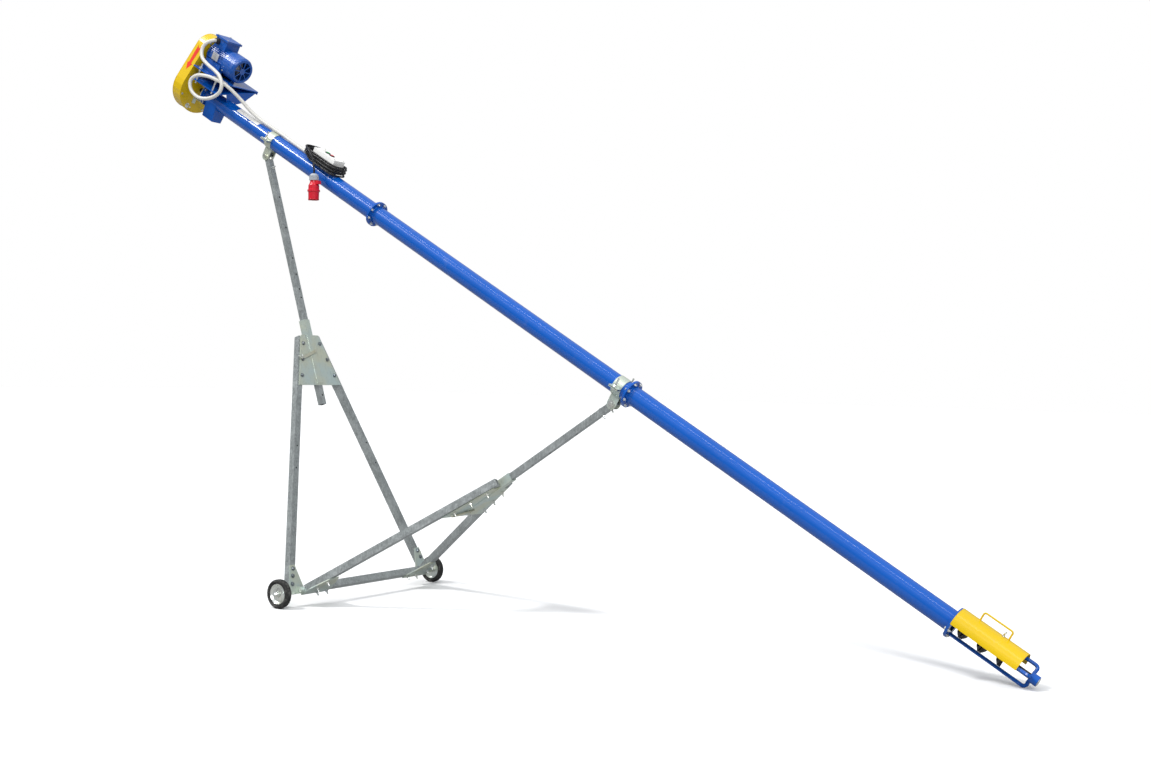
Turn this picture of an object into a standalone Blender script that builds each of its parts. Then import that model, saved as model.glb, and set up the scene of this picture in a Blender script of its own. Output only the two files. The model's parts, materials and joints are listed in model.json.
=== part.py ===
"""Mobile grain auger: an inclined tube conveyor on a folding two-wheeled carriage.

Metres, +Z up. X runs along the machine towards the intake, Y across it. The origin is
on the ground under the middle of the machine. Three frames carry the pieces: the auger
line (X down the tube, Z its upper normal), and one frame for each of the two A-frames
(Z along its telescopic mast, X out of its apex plate).
"""

import math
from math import asin, atan2, cos, pi, radians, sin, sqrt

import bmesh
import bpy
from mathutils import Matrix, Vector

# ---------------------------------------------------------------- driving dimensions
GAP = 0.0003  # between pieces that touch

# conveyor tube and screw
PIPE_OUTER = 0.0508
PIPE_WALL = 0.003
PIPE_BORE = PIPE_OUTER - PIPE_WALL
SLOPE = radians(29.65)
UPPER_JOINT = 0.079  # the flanged joints, from the axle's plane down the tube
MIDDLE_JOINT = 2.117
INTAKE = 4.085
HEAD_LENGTH = 1.679
FLANGE_RADIUS = 0.076
FLANGE_THICK = 0.006
HEAD_FLANGE_RADIUS = 0.068
SCREW_RADIUS = 0.045
SCREW_PITCH = 0.1
SCREW_TURNS = 59
FLIGHT_THICK = 0.003
SHAFT_RADIUS = 0.0135
JOURNAL_RADIUS = 0.0105

# discharge spout
SPOUT_LENGTH = 0.105
SPOUT_DROP = 0.122
SPOUT_TOP_HALF = 0.049
SPOUT_MOUTH_HALF = 0.036
SPOUT_WALL = 0.003
SPOUT_FROM_END = 0.045

# intake cage and sliding cover
CAGE_LENGTH = 0.393
CAGE_RADIUS = 0.062
CAGE_ROD = 0.009
CAGE_BEND = 0.018
CAGE_ANGLES = (165, 45, -75)
HOUSING_RADIUS = 0.024
HOUSING_LENGTH = 0.040
BEARING_OUTER = 0.019
COVER_WALL = 0.002
COVER_RADIUS = FLANGE_RADIUS + 2 * GAP + COVER_WALL
COVER_LENGTH = 0.335
COVER_EDGE = 0.008
HANDLE_ROD = 0.0045
HANDLE_HEIGHT = 0.042
HANDLE_LENGTH = 0.146
HANDLE_START = 0.086

# carriage
WHEEL_RADIUS = 0.080
TYRE_WIDTH = 0.040
RIM_RADIUS = 0.056
TRACK = 1.304
AXLE_RADIUS = 0.008
LEG = 0.040
LEG_WALL = 0.003
MAST = 0.035
MAST_WALL = 0.003
SLEEVE = 0.0446
SLEEVE_WALL = 0.0045
PLATE_THICK = 0.005
PLATE_TOP_HALF = 0.072
PLATE_LOW_HALF = 0.176
PLATE_LENGTH = 0.315
SLEEVE_ABOVE_PLATE = 0.100
PLATE_FRONT = 0.0193
REAR_LEG_FOOT = (0.565, 0.025)  # across and up, in the frame's coordinates
REAR_LEG_TOP = (0.065, 1.504)
REAR_PLATE_TOP = 1.513
REAR_MAST_TAIL = 1.080
REAR_PIN_AT = 1.405
FRONT_LEG_FOOT = (0.490, 0.0)
FRONT_LEG_TOP = (0.0495, 1.165)
FRONT_PLATE_TOP = 1.135
FRONT_MAST_TAIL = 0.845
FRONT_PIN_AT = 0.885
FOLD_PIVOT_AHEAD = 0.050
FOLD_PIVOT_HEIGHT = 0.090
PIVOT_BOLT_RADIUS = 0.006
PIVOT_HOLE = PIVOT_BOLT_RADIUS + GAP
LOCK_PIN_RADIUS = 0.0055
LOCK_BAR_SLANT = 20  # degrees, the near end down

# clamps that hold the tube on the masts
UPPER_CLAMP = -0.910
LOWER_CLAMP = 2.050
CLAMP_WIDTH = 0.060
BAND = 0.004
CLAMP_EAR = 0.034
PIVOT_DROP = 0.100
FORK_THICK = 0.005
FORK_WIDTH = 0.056
FOLD_PLAY = 0.0105  # radial room round the lower pivot, which the coupled fold needs

# drive
MOTOR_RISE = 0.255
SCREW_PULLEY = 0.125
MOTOR_PULLEY = 0.050
PULLEY_WIDTH = 0.022
PULLEY_BORE_CLEAR = GAP
GROOVE_DEPTH = 0.012
BELT_DEPTH = 0.007
BELT_BELOW_RIM = 0.0025
BELT_WIDTH = 0.012
GUARD_BIG = 0.158
GUARD_SMALL = 0.098
GUARD_WALL = 0.002
GUARD_DEPTH = 0.085
GUARD_FROM_END = 0.085
PULLEY_FROM_END = 0.128
MOTOR_RADIUS = 0.072
ROTOR_RADIUS = 0.0445
MOTOR_SHAFT = 0.012
STATOR_LENGTH = 0.187
FAN_COVER_RADIUS = 0.0825
FAN_COVER_LENGTH = 0.113
PLATFORM_TOP = 0.155
PLATFORM_THICK = 0.006
PLATFORM_NEAR = -0.140
PLATFORM_FAR = 0.170

# electric box, conduit and cable
BOX_START = -0.535
BOX_LENGTH = 0.190
BOX_HALF = 0.045
BOX_LOW = 0.0515
BOX_TOP = 0.135
BUTTON_RADIUS = 0.011
BUTTON_TRAVEL = 0.004
CONDUIT_RADIUS = 0.0115
CABLE_RADIUS = 0.0055
CABLE_EXIT = (BOX_START, 0.012, 0.113)  # on the box's upper end, above the conduit
GLAND_LENGTH = 0.024
HANK_CENTRE = (-0.452, 0.0)  # along and across
HANK_HALF_LENGTH = 0.145  # of the coil's middle line
HANK_HALF_WIDTH = 0.064
HANK_CORNER = 0.047
HANK_UPPER = (0.022, 0.033, 0.0952)  # width, height and level where it crosses the conduit
HANK_SPREAD = (0.016, 0.061, 0.0818)  # and where its strands lie one below the other
PLUG_TOP = Vector((-0.396, -0.106, 0.0102))
PLUG_CAP_LENGTH = 0.036
PLUG_LENGTH = 0.152
PLUG_CAP_RADIUS = 0.0265
PLUG_RADIUS = 0.032

# ---------------------------------------------------------------- what follows from them
HEAD_END = UPPER_JOINT - HEAD_LENGTH
CAGE_END = INTAKE + CAGE_LENGTH
HOUSING_END = CAGE_END - CAGE_ROD + HOUSING_LENGTH + 0.005
GUARD_BACK = HEAD_END - GUARD_FROM_END
GUARD_FACE = GUARD_BACK - GUARD_DEPTH
PULLEY_PLANE = HEAD_END - PULLEY_FROM_END


def line_height():
    """Height of the tube's axis at the auger line's origin: the low cage rod rests on the ground."""
    theta = radians(min(CAGE_ANGLES))
    arc_along, arc_out = CAGE_END - CAGE_BEND, CAGE_RADIUS - CAGE_BEND
    drop = CAGE_BEND * sqrt(sin(SLOPE) ** 2 + (sin(theta) * cos(SLOPE)) ** 2)
    return CAGE_ROD + drop + arc_along * sin(SLOPE) - arc_out * sin(theta) * cos(SLOPE)


LINE_HEIGHT = line_height()
MACHINE_REAR = GUARD_FACE * cos(SLOPE) - GUARD_BIG * sin(SLOPE)
MACHINE_FRONT = HOUSING_END * cos(SLOPE) + HOUSING_RADIUS * sin(SLOPE)
AXLE_X = -(MACHINE_REAR + MACHINE_FRONT) / 2

LINE = Matrix.Translation((AXLE_X, 0, LINE_HEIGHT)) @ Matrix.Rotation(SLOPE, 4, "Y")
AXLE = Vector((AXLE_X, 0, WHEEL_RADIUS))
FOLD_PIVOT = Vector((AXLE_X + FOLD_PIVOT_AHEAD, 0, FOLD_PIVOT_HEIGHT))
UPPER_PIVOT = LINE @ Vector((UPPER_CLAMP, 0, -PIVOT_DROP))
LOWER_PIVOT = LINE @ Vector((LOWER_CLAMP, 0, -PIVOT_DROP))


def mast_frame(foot, head):
    """The frame whose Z runs from foot to head in the XZ plane, and the distance between them."""
    reach = head - foot
    lean = atan2(reach.x, reach.z)
    return Matrix.Translation(foot) @ Matrix.Rotation(lean, 4, "Y"), reach.length


REAR, REAR_REACH = mast_frame(AXLE, UPPER_PIVOT)
FRONT, FRONT_REACH = mast_frame(FOLD_PIVOT, LOWER_PIVOT)

# ---------------------------------------------------------------- scene and paints
for old in list(bpy.data.objects):
    bpy.data.objects.remove(old, do_unlink=True)

parts = bpy.data.collections.new("grain_auger")
bpy.context.scene.collection.children.link(parts)


def paint(name, colour, roughness, metallic=0.0):
    material = bpy.data.materials.new(name)
    material.use_nodes = True
    shader = material.node_tree.nodes["Principled BSDF"]
    shader.inputs["Base Color"].default_value = (*colour, 1)
    shader.inputs["Roughness"].default_value = roughness
    shader.inputs["Metallic"].default_value = metallic
    return material


BLUE = paint("blue_paint", (0.01, 0.09, 0.55), 0.3)
YELLOW = paint("yellow_paint", (0.80, 0.58, 0.01), 0.35)
GALVANISED = paint("galvanised_steel", (0.42, 0.45, 0.46), 0.45, 0.9)
ZINC = paint("zinc_plate", (0.62, 0.68, 0.66), 0.4, 0.8)
STEEL = paint("bare_steel", (0.55, 0.55, 0.55), 0.35, 1.0)
BLACK_STEEL = paint("black_steel", (0.02, 0.02, 0.02), 0.4, 0.3)
RUBBER = paint("black_rubber", (0.015, 0.015, 0.015), 0.75)
GREY_PLASTIC = paint("light_grey_plastic", (0.6, 0.6, 0.56), 0.5)
WHITE_PLASTIC = paint("white_plastic", (0.85, 0.85, 0.83), 0.4)
RED_PLASTIC = paint("red_plastic", (0.75, 0.03, 0.05), 0.35)
GREEN_PLASTIC = paint("green_plastic", (0.05, 0.4, 0.12), 0.4)
BLACK_PLASTIC = paint("black_plastic", (0.02, 0.02, 0.02), 0.5)


# ---------------------------------------------------------------- modelling helpers
def linked(name, data):
    obj = bpy.data.objects.new(name, data)
    parts.objects.link(obj)
    return obj


def empty(name, place, parent=None):
    """An axis or a frame. place is in world space."""
    obj = linked(name, None)
    obj.empty_display_size = 0.1
    if parent:
        obj.parent = parent
        obj.matrix_parent_inverse = parent.matrix_world.inverted()
    obj.matrix_world = place
    bpy.context.view_layer.update()
    return obj


def baked(obj, move=Matrix()):
    """The object as a plain mesh object: modifiers and curve bevel applied, seams welded, then moved."""
    bpy.context.view_layer.update()
    seen = obj.evaluated_get(bpy.context.evaluated_depsgraph_get())
    mesh = bpy.data.meshes.new_from_object(seen)
    bm = bmesh.new()
    bm.from_mesh(mesh)
    bmesh.ops.remove_doubles(bm, verts=bm.verts, dist=1e-6)
    bm.transform(move)
    bmesh.ops.recalc_face_normals(bm, faces=bm.faces)
    bm.to_mesh(mesh)
    bm.free()
    bpy.data.objects.remove(obj, do_unlink=True)
    return linked("shape", mesh)


def from_bmesh(bm):
    mesh = bpy.data.meshes.new("shape")
    bm.to_mesh(mesh)
    bm.free()
    return linked("shape", mesh)


def block(low, high):
    low, high = Vector(low), Vector(high)
    bm = bmesh.new()
    bmesh.ops.create_cube(bm, size=1)
    bmesh.ops.scale(bm, vec=high - low, verts=bm.verts)
    bmesh.ops.translate(bm, vec=(low + high) / 2, verts=bm.verts)
    return from_bmesh(bm)


def bar(start, end, radius, sides=16, end_radius=None):
    """A round bar or cone between two points."""
    start, end = Vector(start), Vector(end)
    along = end - start
    turn = along.to_track_quat("Z", "Y").to_matrix().to_4x4()
    bm = bmesh.new()
    bmesh.ops.create_cone(
        bm,
        cap_ends=True,
        segments=sides,
        radius1=radius,
        radius2=radius if end_radius is None else end_radius,
        depth=along.length,
        matrix=Matrix.Translation((start + end) / 2) @ turn,
    )
    return from_bmesh(bm)


TO_X = Matrix.Rotation(pi / 2, 4, "Y")
TO_Y = Matrix.Rotation(-pi / 2, 4, "X")


def turned(profile, move=TO_X, steps=32):
    """A closed profile of (radius, height) points turned once about its height axis."""
    mesh = bpy.data.meshes.new("profile")
    count = len(profile)
    edges = [(i, (i + 1) % count) for i in range(count)]
    mesh.from_pydata([(r, 0, h) for r, h in profile], edges, [])
    obj = linked("profile", mesh)
    screw = obj.modifiers.new("turn", "SCREW")
    screw.angle = 2 * pi
    screw.steps = steps
    screw.render_steps = steps
    screw.use_merge_vertices = True
    screw.merge_threshold = 1e-5
    return baked(obj, move)


def tube_ring(inner, outer, low, high, move=TO_X, steps=32):
    return turned([(inner, low), (outer, low), (outer, high), (inner, high)], move, steps)


PLANES = {
    "X": Matrix(((0, 0, 1, 0), (1, 0, 0, 0), (0, 1, 0, 0), (0, 0, 0, 1))),
    "Y": Matrix(((1, 0, 0, 0), (0, 0, -1, 0), (0, 1, 0, 0), (0, 0, 0, 1))),
    "Z": Matrix(),
}


def sheet(outlines, thickness, normal, middle):
    """Flat plate from closed outlines, the later ones holes, with its mid-plane at middle along normal."""
    curve = bpy.data.curves.new("outline", "CURVE")
    curve.dimensions = "2D"
    curve.fill_mode = "BOTH"
    curve.extrude = thickness / 2
    for points in outlines:
        spline = curve.splines.new("POLY")
        spline.points.add(len(points) - 1)
        for point, (u, v) in zip(spline.points, points):
            point.co = (u, v, 0, 1)
        spline.use_cyclic_u = True
    away = middle if normal != "Y" else -middle
    return baked(linked("outline", curve), PLANES[normal] @ Matrix.Translation((0, 0, away)))


def arc(centre, radius, start, end, points):
    """Points on an arc, angles in degrees."""
    steps = [radians(start + (end - start) * i / (points - 1)) for i in range(points)]
    return [(centre[0] + radius * cos(t), centre[1] + radius * sin(t)) for t in steps]


def ring_outline(centre, radius, points=20):
    return arc(centre, radius, 0, 360 * (points - 1) / points, points)


def rod(points, radius, resolution=2):
    """A round wire or tube along points, with filled ends."""
    curve = bpy.data.curves.new("path", "CURVE")
    curve.dimensions = "3D"
    curve.bevel_depth = radius
    curve.bevel_resolution = resolution
    curve.use_fill_caps = True
    spline = curve.splines.new("POLY")
    spline.points.add(len(points) - 1)
    for point, place in zip(spline.points, points):
        point.co = (*place, 1)
    return baked(linked("path", curve))


def rounded(corners, radius, points=5):
    """A polyline with its inner corners rounded to radius."""
    corners = [Vector(c) for c in corners]
    path = [corners[0]]
    for before, corner, after in zip(corners, corners[1:], corners[2:]):
        back, ahead = (before - corner).normalized(), (after - corner).normalized()
        half = back.angle(ahead) / 2
        reach = radius / math.tan(half)
        centre = corner + (back + ahead).normalized() * radius / sin(half)
        first, last = corner + back * reach - centre, corner + ahead * reach - centre
        swing = first.angle(last)
        for i in range(points):
            t = i / (points - 1)
            path.append(centre + (first * sin((1 - t) * swing) + last * sin(t * swing)) / sin(swing))
    return [*path, corners[-1]]


def smooth(route, spacing):
    """Points every spacing or so along a Catmull-Rom curve through the route."""
    route = [Vector(p) for p in route]
    ends = [2 * route[0] - route[1], *route, 2 * route[-1] - route[-2]]
    path = []
    for a, b, c, d in zip(ends, ends[1:], ends[2:], ends[3:]):
        count = max(1, round((c - b).length / spacing))
        for i in range(count):
            t = i / count
            path.append(
                0.5 * (2 * b + (c - a) * t + (2 * a - 5 * b + 4 * c - d) * t**2 + (3 * b - a - 3 * c + d) * t**3)
            )
    return [*path, route[-1]]


def square_tube(length, size, wall, move):
    half, bore = size / 2, size / 2 - wall
    outlines = [[(-h, -h), (h, -h), (h, h), (-h, h)] for h in (half, bore)]
    shape = sheet(outlines, length, "Z", length / 2)
    shape.data.transform(move)
    return shape


def combine(shape, tools, operation):
    for tool in tools:
        cutter = shape.modifiers.new("cut", "BOOLEAN")
        cutter.operation = operation
        cutter.solver = "EXACT"
        cutter.object = tool
    result = baked(shape)
    for tool in tools:
        bpy.data.objects.remove(tool, do_unlink=True)
    return result


def cut(shape, *tools):
    return combine(shape, tools, "DIFFERENCE")


def join(shape, *tools):
    return combine(shape, tools, "UNION")


def piece(name, shape, material, frame, sharp=35):
    """Finishes a shape, modelled in the frame's coordinates, as the named node."""
    shape.name = name
    shape.data.name = name
    shape.data.materials.clear()
    shape.data.materials.append(material)
    shape.data.shade_smooth()
    shape.data.set_sharp_from_angle(angle=radians(sharp))
    shape.parent = frame
    return shape


def mirrored(shape):
    """A copy of a mesh object mirrored across the machine's middle plane."""
    bm = bmesh.new()
    bm.from_mesh(shape.data)
    bm.transform(Matrix.Scale(-1, 4, (0, 1, 0)))
    bmesh.ops.reverse_faces(bm, faces=bm.faces)
    return from_bmesh(bm)


SIDES = (("near", -1), ("far", 1))


# ---------------------------------------------------------------- frames of the moving bodies
rear_frame = empty("rear_frame", REAR)
rear_mast_frame = empty("rear_mast_frame", REAR, rear_frame)
front_frame = empty("front_frame", FRONT, rear_frame)
front_mast_frame = empty("front_mast_frame", FRONT, front_frame)
upper_pivot = empty("upper_pivot", Matrix.Translation(UPPER_PIVOT), rear_mast_frame)
line = empty("auger_line", LINE, upper_pivot)
screw_axis = empty("screw_axis", LINE, line)
motor_axis = empty("motor_axis", LINE @ Matrix.Translation((0, 0, MOTOR_RISE)), line)
cover_slide = empty("cover_slide", LINE, line)


# ---------------------------------------------------------------- carriage
def leg_place(foot, top, side):
    """Where a leg's tube starts and how it leans, and its length, in its A-frame's coordinates."""
    start = Vector((LEG_BACK, side * foot[0], foot[1]))
    end = Vector((LEG_BACK, side * top[0], top[1]))
    lean = atan2(end.y - start.y, end.z - start.z)
    return Matrix.Translation(start) @ Matrix.Rotation(-lean, 4, "X"), (end - start).length


LEG_BACK = PLATE_FRONT - PLATE_THICK - GAP - LEG / 2


def apex_plate(top, pin_at):
    """The trapezoid plate with the mast's sleeve let into it and a hole for the lock pin."""
    low = top - PLATE_LENGTH
    outline = [
        (-PLATE_LOW_HALF, low),
        (PLATE_LOW_HALF, low),
        (PLATE_TOP_HALF, top),
        (-PLATE_TOP_HALF, top),
    ]
    plate = sheet([outline], PLATE_THICK, "X", PLATE_FRONT - PLATE_THICK / 2)
    sleeve_low = low + 0.012
    sleeve_length = top + SLEEVE_ABOVE_PLATE - sleeve_low
    sleeve = block((-SLEEVE / 2, -SLEEVE / 2, sleeve_low), (SLEEVE / 2, SLEEVE / 2, sleeve_low + sleeve_length))
    bore = MAST / 2 + GAP
    channel = block((-bore, -bore, low - 0.01), (bore, bore, top + SLEEVE_ABOVE_PLATE + 0.01))
    hole = bar((0, 0, pin_at), (0.05, 0, pin_at), LOCK_PIN_RADIUS + GAP, 12)
    return cut(join(plate, sleeve), channel, hole)


def mast(reach, tail, pin_at):
    """A telescopic mast: square tube with lock holes and a plain end that the clamp's fork takes."""
    end = reach + MAST / 2 + 0.004
    shape = square_tube(end - tail, MAST, MAST_WALL, Matrix.Translation((0, 0, tail)))
    pivot = bar((0, -0.05, reach), (0, 0.05, reach), PIVOT_HOLE, 16)
    holes = [bar((-0.05, 0, pin_at), (0.05, 0, pin_at), LOCK_PIN_RADIUS + GAP, 12)]
    for offset in MAST_HOLES:
        at = pin_at + offset
        if tail + 0.02 < at < end - 0.05:
            holes.append(bar((-0.05, 0, at), (0.05, 0, at), LOCK_PIN_RADIUS + GAP, 12))
    return cut(shape, pivot, *holes)


MAST_HOLES = (-0.15, -0.05, 0.35, 0.5)


def lock_pin(pin_at):
    """A flat-handled pin through the sleeve's front wall, its tip against the mast."""
    front = SLEEVE / 2 + 0.002
    stem = bar((MAST / 2 + 2 * GAP, 0, 0), (front + 0.010, 0, 0), LOCK_PIN_RADIUS, 12)
    handle = block((front, -0.112, -0.009), (front + 0.006, 0.024, 0.009))
    hook_path = rounded(
        [(front + 0.003, -0.108, 0.0), (front + 0.003, -0.126, -0.004), (front + 0.003, -0.136, 0.018)],
        0.007,
        4,
    )
    shape = join(stem, handle, rod(hook_path, 0.003, 1))
    slant = Matrix.Rotation(radians(LOCK_BAR_SLANT), 4, "X")
    shape.data.transform(Matrix.Translation((0, 0, pin_at)) @ slant)
    return shape


for frame_name, frame, mast_home, foot, top, plate_top, pin_at, reach, tail in (
    (
        "rear",
        rear_frame,
        rear_mast_frame,
        REAR_LEG_FOOT,
        REAR_LEG_TOP,
        REAR_PLATE_TOP,
        REAR_PIN_AT,
        REAR_REACH,
        REAR_MAST_TAIL,
    ),
    (
        "front",
        front_frame,
        front_mast_frame,
        FRONT_LEG_FOOT,
        FRONT_LEG_TOP,
        FRONT_PLATE_TOP,
        FRONT_PIN_AT,
        FRONT_REACH,
        FRONT_MAST_TAIL,
    ),
):
    for side_name, side in SIDES:
        move, length = leg_place(foot, top, side)
        piece(f"{frame_name}_leg_{side_name}", square_tube(length, LEG, LEG_WALL, move), GALVANISED, frame)
    piece(f"{frame_name}_apex_plate", apex_plate(plate_top, pin_at), ZINC, frame)
    piece(f"{frame_name}_mast", mast(reach, tail, pin_at), GALVANISED, mast_home)
    pin_home = empty(f"{frame_name}_pin_slide", frame.matrix_world, frame)
    piece(f"{frame_name}_lock_pin", lock_pin(pin_at), ZINC, pin_home)


def foot_bracket(side):
    """Tapered plate on the leg's front face, with the stub axle's tube and the lug of the fold pivot."""
    outline = [(-0.598, -0.018), (-0.470, -0.018), (-0.486, 0.040), (-0.512, 0.145), (-0.552, 0.145)]
    plate = sheet([outline], PLATE_THICK, "X", PLATE_FRONT - PLATE_THICK / 2)
    to_frame = REAR.inverted()
    axle = to_frame @ AXLE
    pivot = to_frame @ FOLD_PIVOT
    root = PLATE_FRONT - PLATE_THICK / 2
    rim = arc((pivot.x, pivot.z), 0.017, -80, 80, 9)
    lug = sheet([[(root, -0.018), *rim, (root, 0.026)]], 0.006, "Y", -(FOLD_LUG + 0.003))

    def across(centre, start, end, radius, sides=20):
        return bar((centre.x, -start, centre.z), (centre.x, -end, centre.z), radius, sides)

    collar_end = TRACK / 2 - HUB_HALF - GAP
    shape = join(plate, lug, across(axle, 0.478, collar_end, 0.0165))
    shape = join(shape, across(axle, collar_end - 0.002, TRACK / 2 + HUB_HALF + 0.003, AXLE_RADIUS))
    shape = cut(shape, across(pivot, FOLD_LUG - 0.01, FOLD_LUG + 0.02, PIVOT_HOLE, 16))
    return shape if side < 0 else flipped(shape)


def flipped(shape):
    other = mirrored(shape)
    bpy.data.objects.remove(shape, do_unlink=True)
    return other


FOLD_EAR = 0.520
FOLD_LUG = FOLD_EAR + 0.006 + GAP
HUB_HALF = 0.024
BEAM_HALF = 0.461

for side_name, side in SIDES:
    piece(f"foot_bracket_{side_name}", foot_bracket(side), ZINC, rear_frame)


def corner_gusset(side):
    """Plate under the leg and the cross beam, with the ear that the fold pivot's bolt goes through."""
    outline = [
        (-0.526, -0.022),
        (-0.526, 0.050),
        (-0.460, 0.150),
        (-0.392, 0.165),
        (-0.322, 0.020),
        (-0.322, -0.022),
    ]
    plate = sheet([outline], PLATE_THICK, "X", PLATE_FRONT - PLATE_THICK / 2)
    ear = sheet(
        [[(PLATE_FRONT, -0.020), (PLATE_FRONT, 0.020), *arc((0, 0), 0.020, 90, 270, 9)]],
        0.006,
        "Y",
        -(FOLD_EAR + 0.003),
    )
    hole = bar((0, -0.55, 0), (0, -0.51, 0), PIVOT_HOLE, 16)
    shape = cut(join(plate, ear), hole)
    return shape if side < 0 else flipped(shape)


def pivot_bolt(side):
    head_face = -(FOLD_LUG + 0.006 + GAP)
    head = bar((0, head_face, 0), (0, head_face - 0.008, 0), 0.011, 6)
    shank = bar((0, head_face - 0.007, 0), (0, -FOLD_EAR + 0.0085, 0), PIVOT_BOLT_RADIUS, 16)
    nut = bar((0, -FOLD_EAR + GAP, 0), (0, -FOLD_EAR + 0.007, 0), 0.010, 6)
    shape = join(shank, head, nut)
    return shape if side < 0 else flipped(shape)


beam_tube = square_tube(
    2 * BEAM_HALF, LEG, LEG_WALL, Matrix.Translation((LEG_BACK, -BEAM_HALF, 0)) @ Matrix.Rotation(-pi / 2, 4, "X")
)
piece("cross_beam", beam_tube, GALVANISED, front_frame)
for side_name, side in SIDES:
    piece(f"corner_gusset_{side_name}", corner_gusset(side), ZINC, front_frame)
    piece(f"fold_bolt_{side_name}", pivot_bolt(side), STEEL, front_frame)


# ---------------------------------------------------------------- wheels
def tyre():
    half, edge = TYRE_WIDTH / 2, 0.010
    profile = [
        (RIM_RADIUS + GAP, -half + 0.006),
        (WHEEL_RADIUS - edge, -half),
        *[(r, -h) for r, h in arc((WHEEL_RADIUS - edge, half - edge), edge, 60, 0, 3)],
        *[(r, h) for r, h in arc((WHEEL_RADIUS - edge, half - edge), edge, 0, 60, 3)],
        (WHEEL_RADIUS - edge, half),
        (RIM_RADIUS + GAP, half - 0.006),
    ]
    return turned(profile, TO_Y, 32)


def wheel_disc():
    """Pressed disc, rim band and hub as one turned piece."""
    band, lip, hub = TYRE_WIDTH / 2 - 0.007, 0.002, 0.017
    bore = AXLE_RADIUS + GAP
    profile = [
        (bore, -HUB_HALF),
        (hub, -HUB_HALF),
        (hub, -0.004),
        (RIM_RADIUS - 0.010, -0.004),
        (RIM_RADIUS - lip, -band),
        (RIM_RADIUS, -band),
        (RIM_RADIUS, band),
        (RIM_RADIUS - lip, band),
        (RIM_RADIUS - 0.010, -0.001),
        (hub, -0.001),
        (hub, HUB_HALF),
        (bore, HUB_HALF),
    ]
    return turned(profile, TO_Y, 24)


for side_name, side in SIDES:
    centre = Vector((AXLE_X, side * TRACK / 2, WHEEL_RADIUS))
    hub_axis = empty(f"wheel_{side_name}_axis", Matrix.Translation(centre), rear_frame)
    piece(f"tyre_{side_name}", tyre(), RUBBER, hub_axis)
    disc = wheel_disc()
    piece(f"wheel_disc_{side_name}", disc if side < 0 else flipped(disc), ZINC, hub_axis)


# ---------------------------------------------------------------- conveyor tube
def head_tube():
    """Top section: pipe, end flanges and the tapered discharge spout under it."""
    spout_start = HEAD_END + SPOUT_FROM_END
    shell = turned(
        [
            (PIPE_BORE, HEAD_END),
            (HEAD_FLANGE_RADIUS, HEAD_END),
            (HEAD_FLANGE_RADIUS, HEAD_END + FLANGE_THICK),
            (PIPE_OUTER, HEAD_END + FLANGE_THICK),
            (PIPE_OUTER, UPPER_JOINT - FLANGE_THICK - GAP / 2),
            (FLANGE_RADIUS, UPPER_JOINT - FLANGE_THICK - GAP / 2),
            (FLANGE_RADIUS, UPPER_JOINT - GAP / 2),
            (PIPE_BORE, UPPER_JOINT - GAP / 2),
        ]
    )

    def taper(inset, top, bottom):
        low, high = spout_start + inset, spout_start + SPOUT_LENGTH - inset
        shape = block((low, -1, bottom), (high, 1, top))
        fall = (SPOUT_TOP_HALF - SPOUT_MOUTH_HALF) / (SPOUT_DROP - 0.01)
        for vertex in shape.data.vertices:
            half = SPOUT_TOP_HALF - inset + (vertex.co.z + 0.01) * fall
            vertex.co.y = half if vertex.co.y > 0 else -half
        return shape

    chute = cut(
        taper(0, -0.010, -SPOUT_DROP),
        bar((spout_start - 0.02, 0, 0), (spout_start + SPOUT_LENGTH + 0.02, 0, 0), PIPE_BORE + 0.001, 32),
    )
    return cut(join(shell, chute), taper(SPOUT_WALL, -0.028, -SPOUT_DROP - 0.01))


def plain_section(start, end):
    low, high = start + GAP / 2, end - GAP / 2
    return turned(
        [
            (PIPE_BORE, low),
            (FLANGE_RADIUS, low),
            (FLANGE_RADIUS, low + FLANGE_THICK),
            (PIPE_OUTER, low + FLANGE_THICK),
            (PIPE_OUTER, high - FLANGE_THICK),
            (FLANGE_RADIUS, high - FLANGE_THICK),
            (FLANGE_RADIUS, high),
            (PIPE_BORE, high),
        ]
    )


piece("head_tube", head_tube(), BLUE, line)
piece("middle_tube", plain_section(UPPER_JOINT, MIDDLE_JOINT), BLUE, line)
piece("lower_tube", plain_section(MIDDLE_JOINT, INTAKE), BLUE, line)


def head_bearing():
    """Flanged bearing unit on the tube's top end, with the strap that holds the belt guard."""
    face = HEAD_END - GAP
    unit = turned(
        [
            (JOURNAL_RADIUS + GAP, face - 0.030),
            (0.032, face - 0.030),
            (0.034, face - 0.006),
            (HEAD_FLANGE_RADIUS, face - 0.006),
            (HEAD_FLANGE_RADIUS, face),
            (JOURNAL_RADIUS + GAP, face),
        ]
    )
    strap_top = -HEAD_FLANGE_RADIUS + 0.012
    end = GUARD_BACK + GAP
    strap = block((end, -0.040, strap_top - 0.003), (face - 0.001, -0.015, strap_top))
    tab = block((end, -0.040, strap_top - 0.040), (end + 0.003, -0.015, strap_top))
    return join(unit, join(strap, tab))


piece("head_bearing", head_bearing(), ZINC, line)


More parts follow.
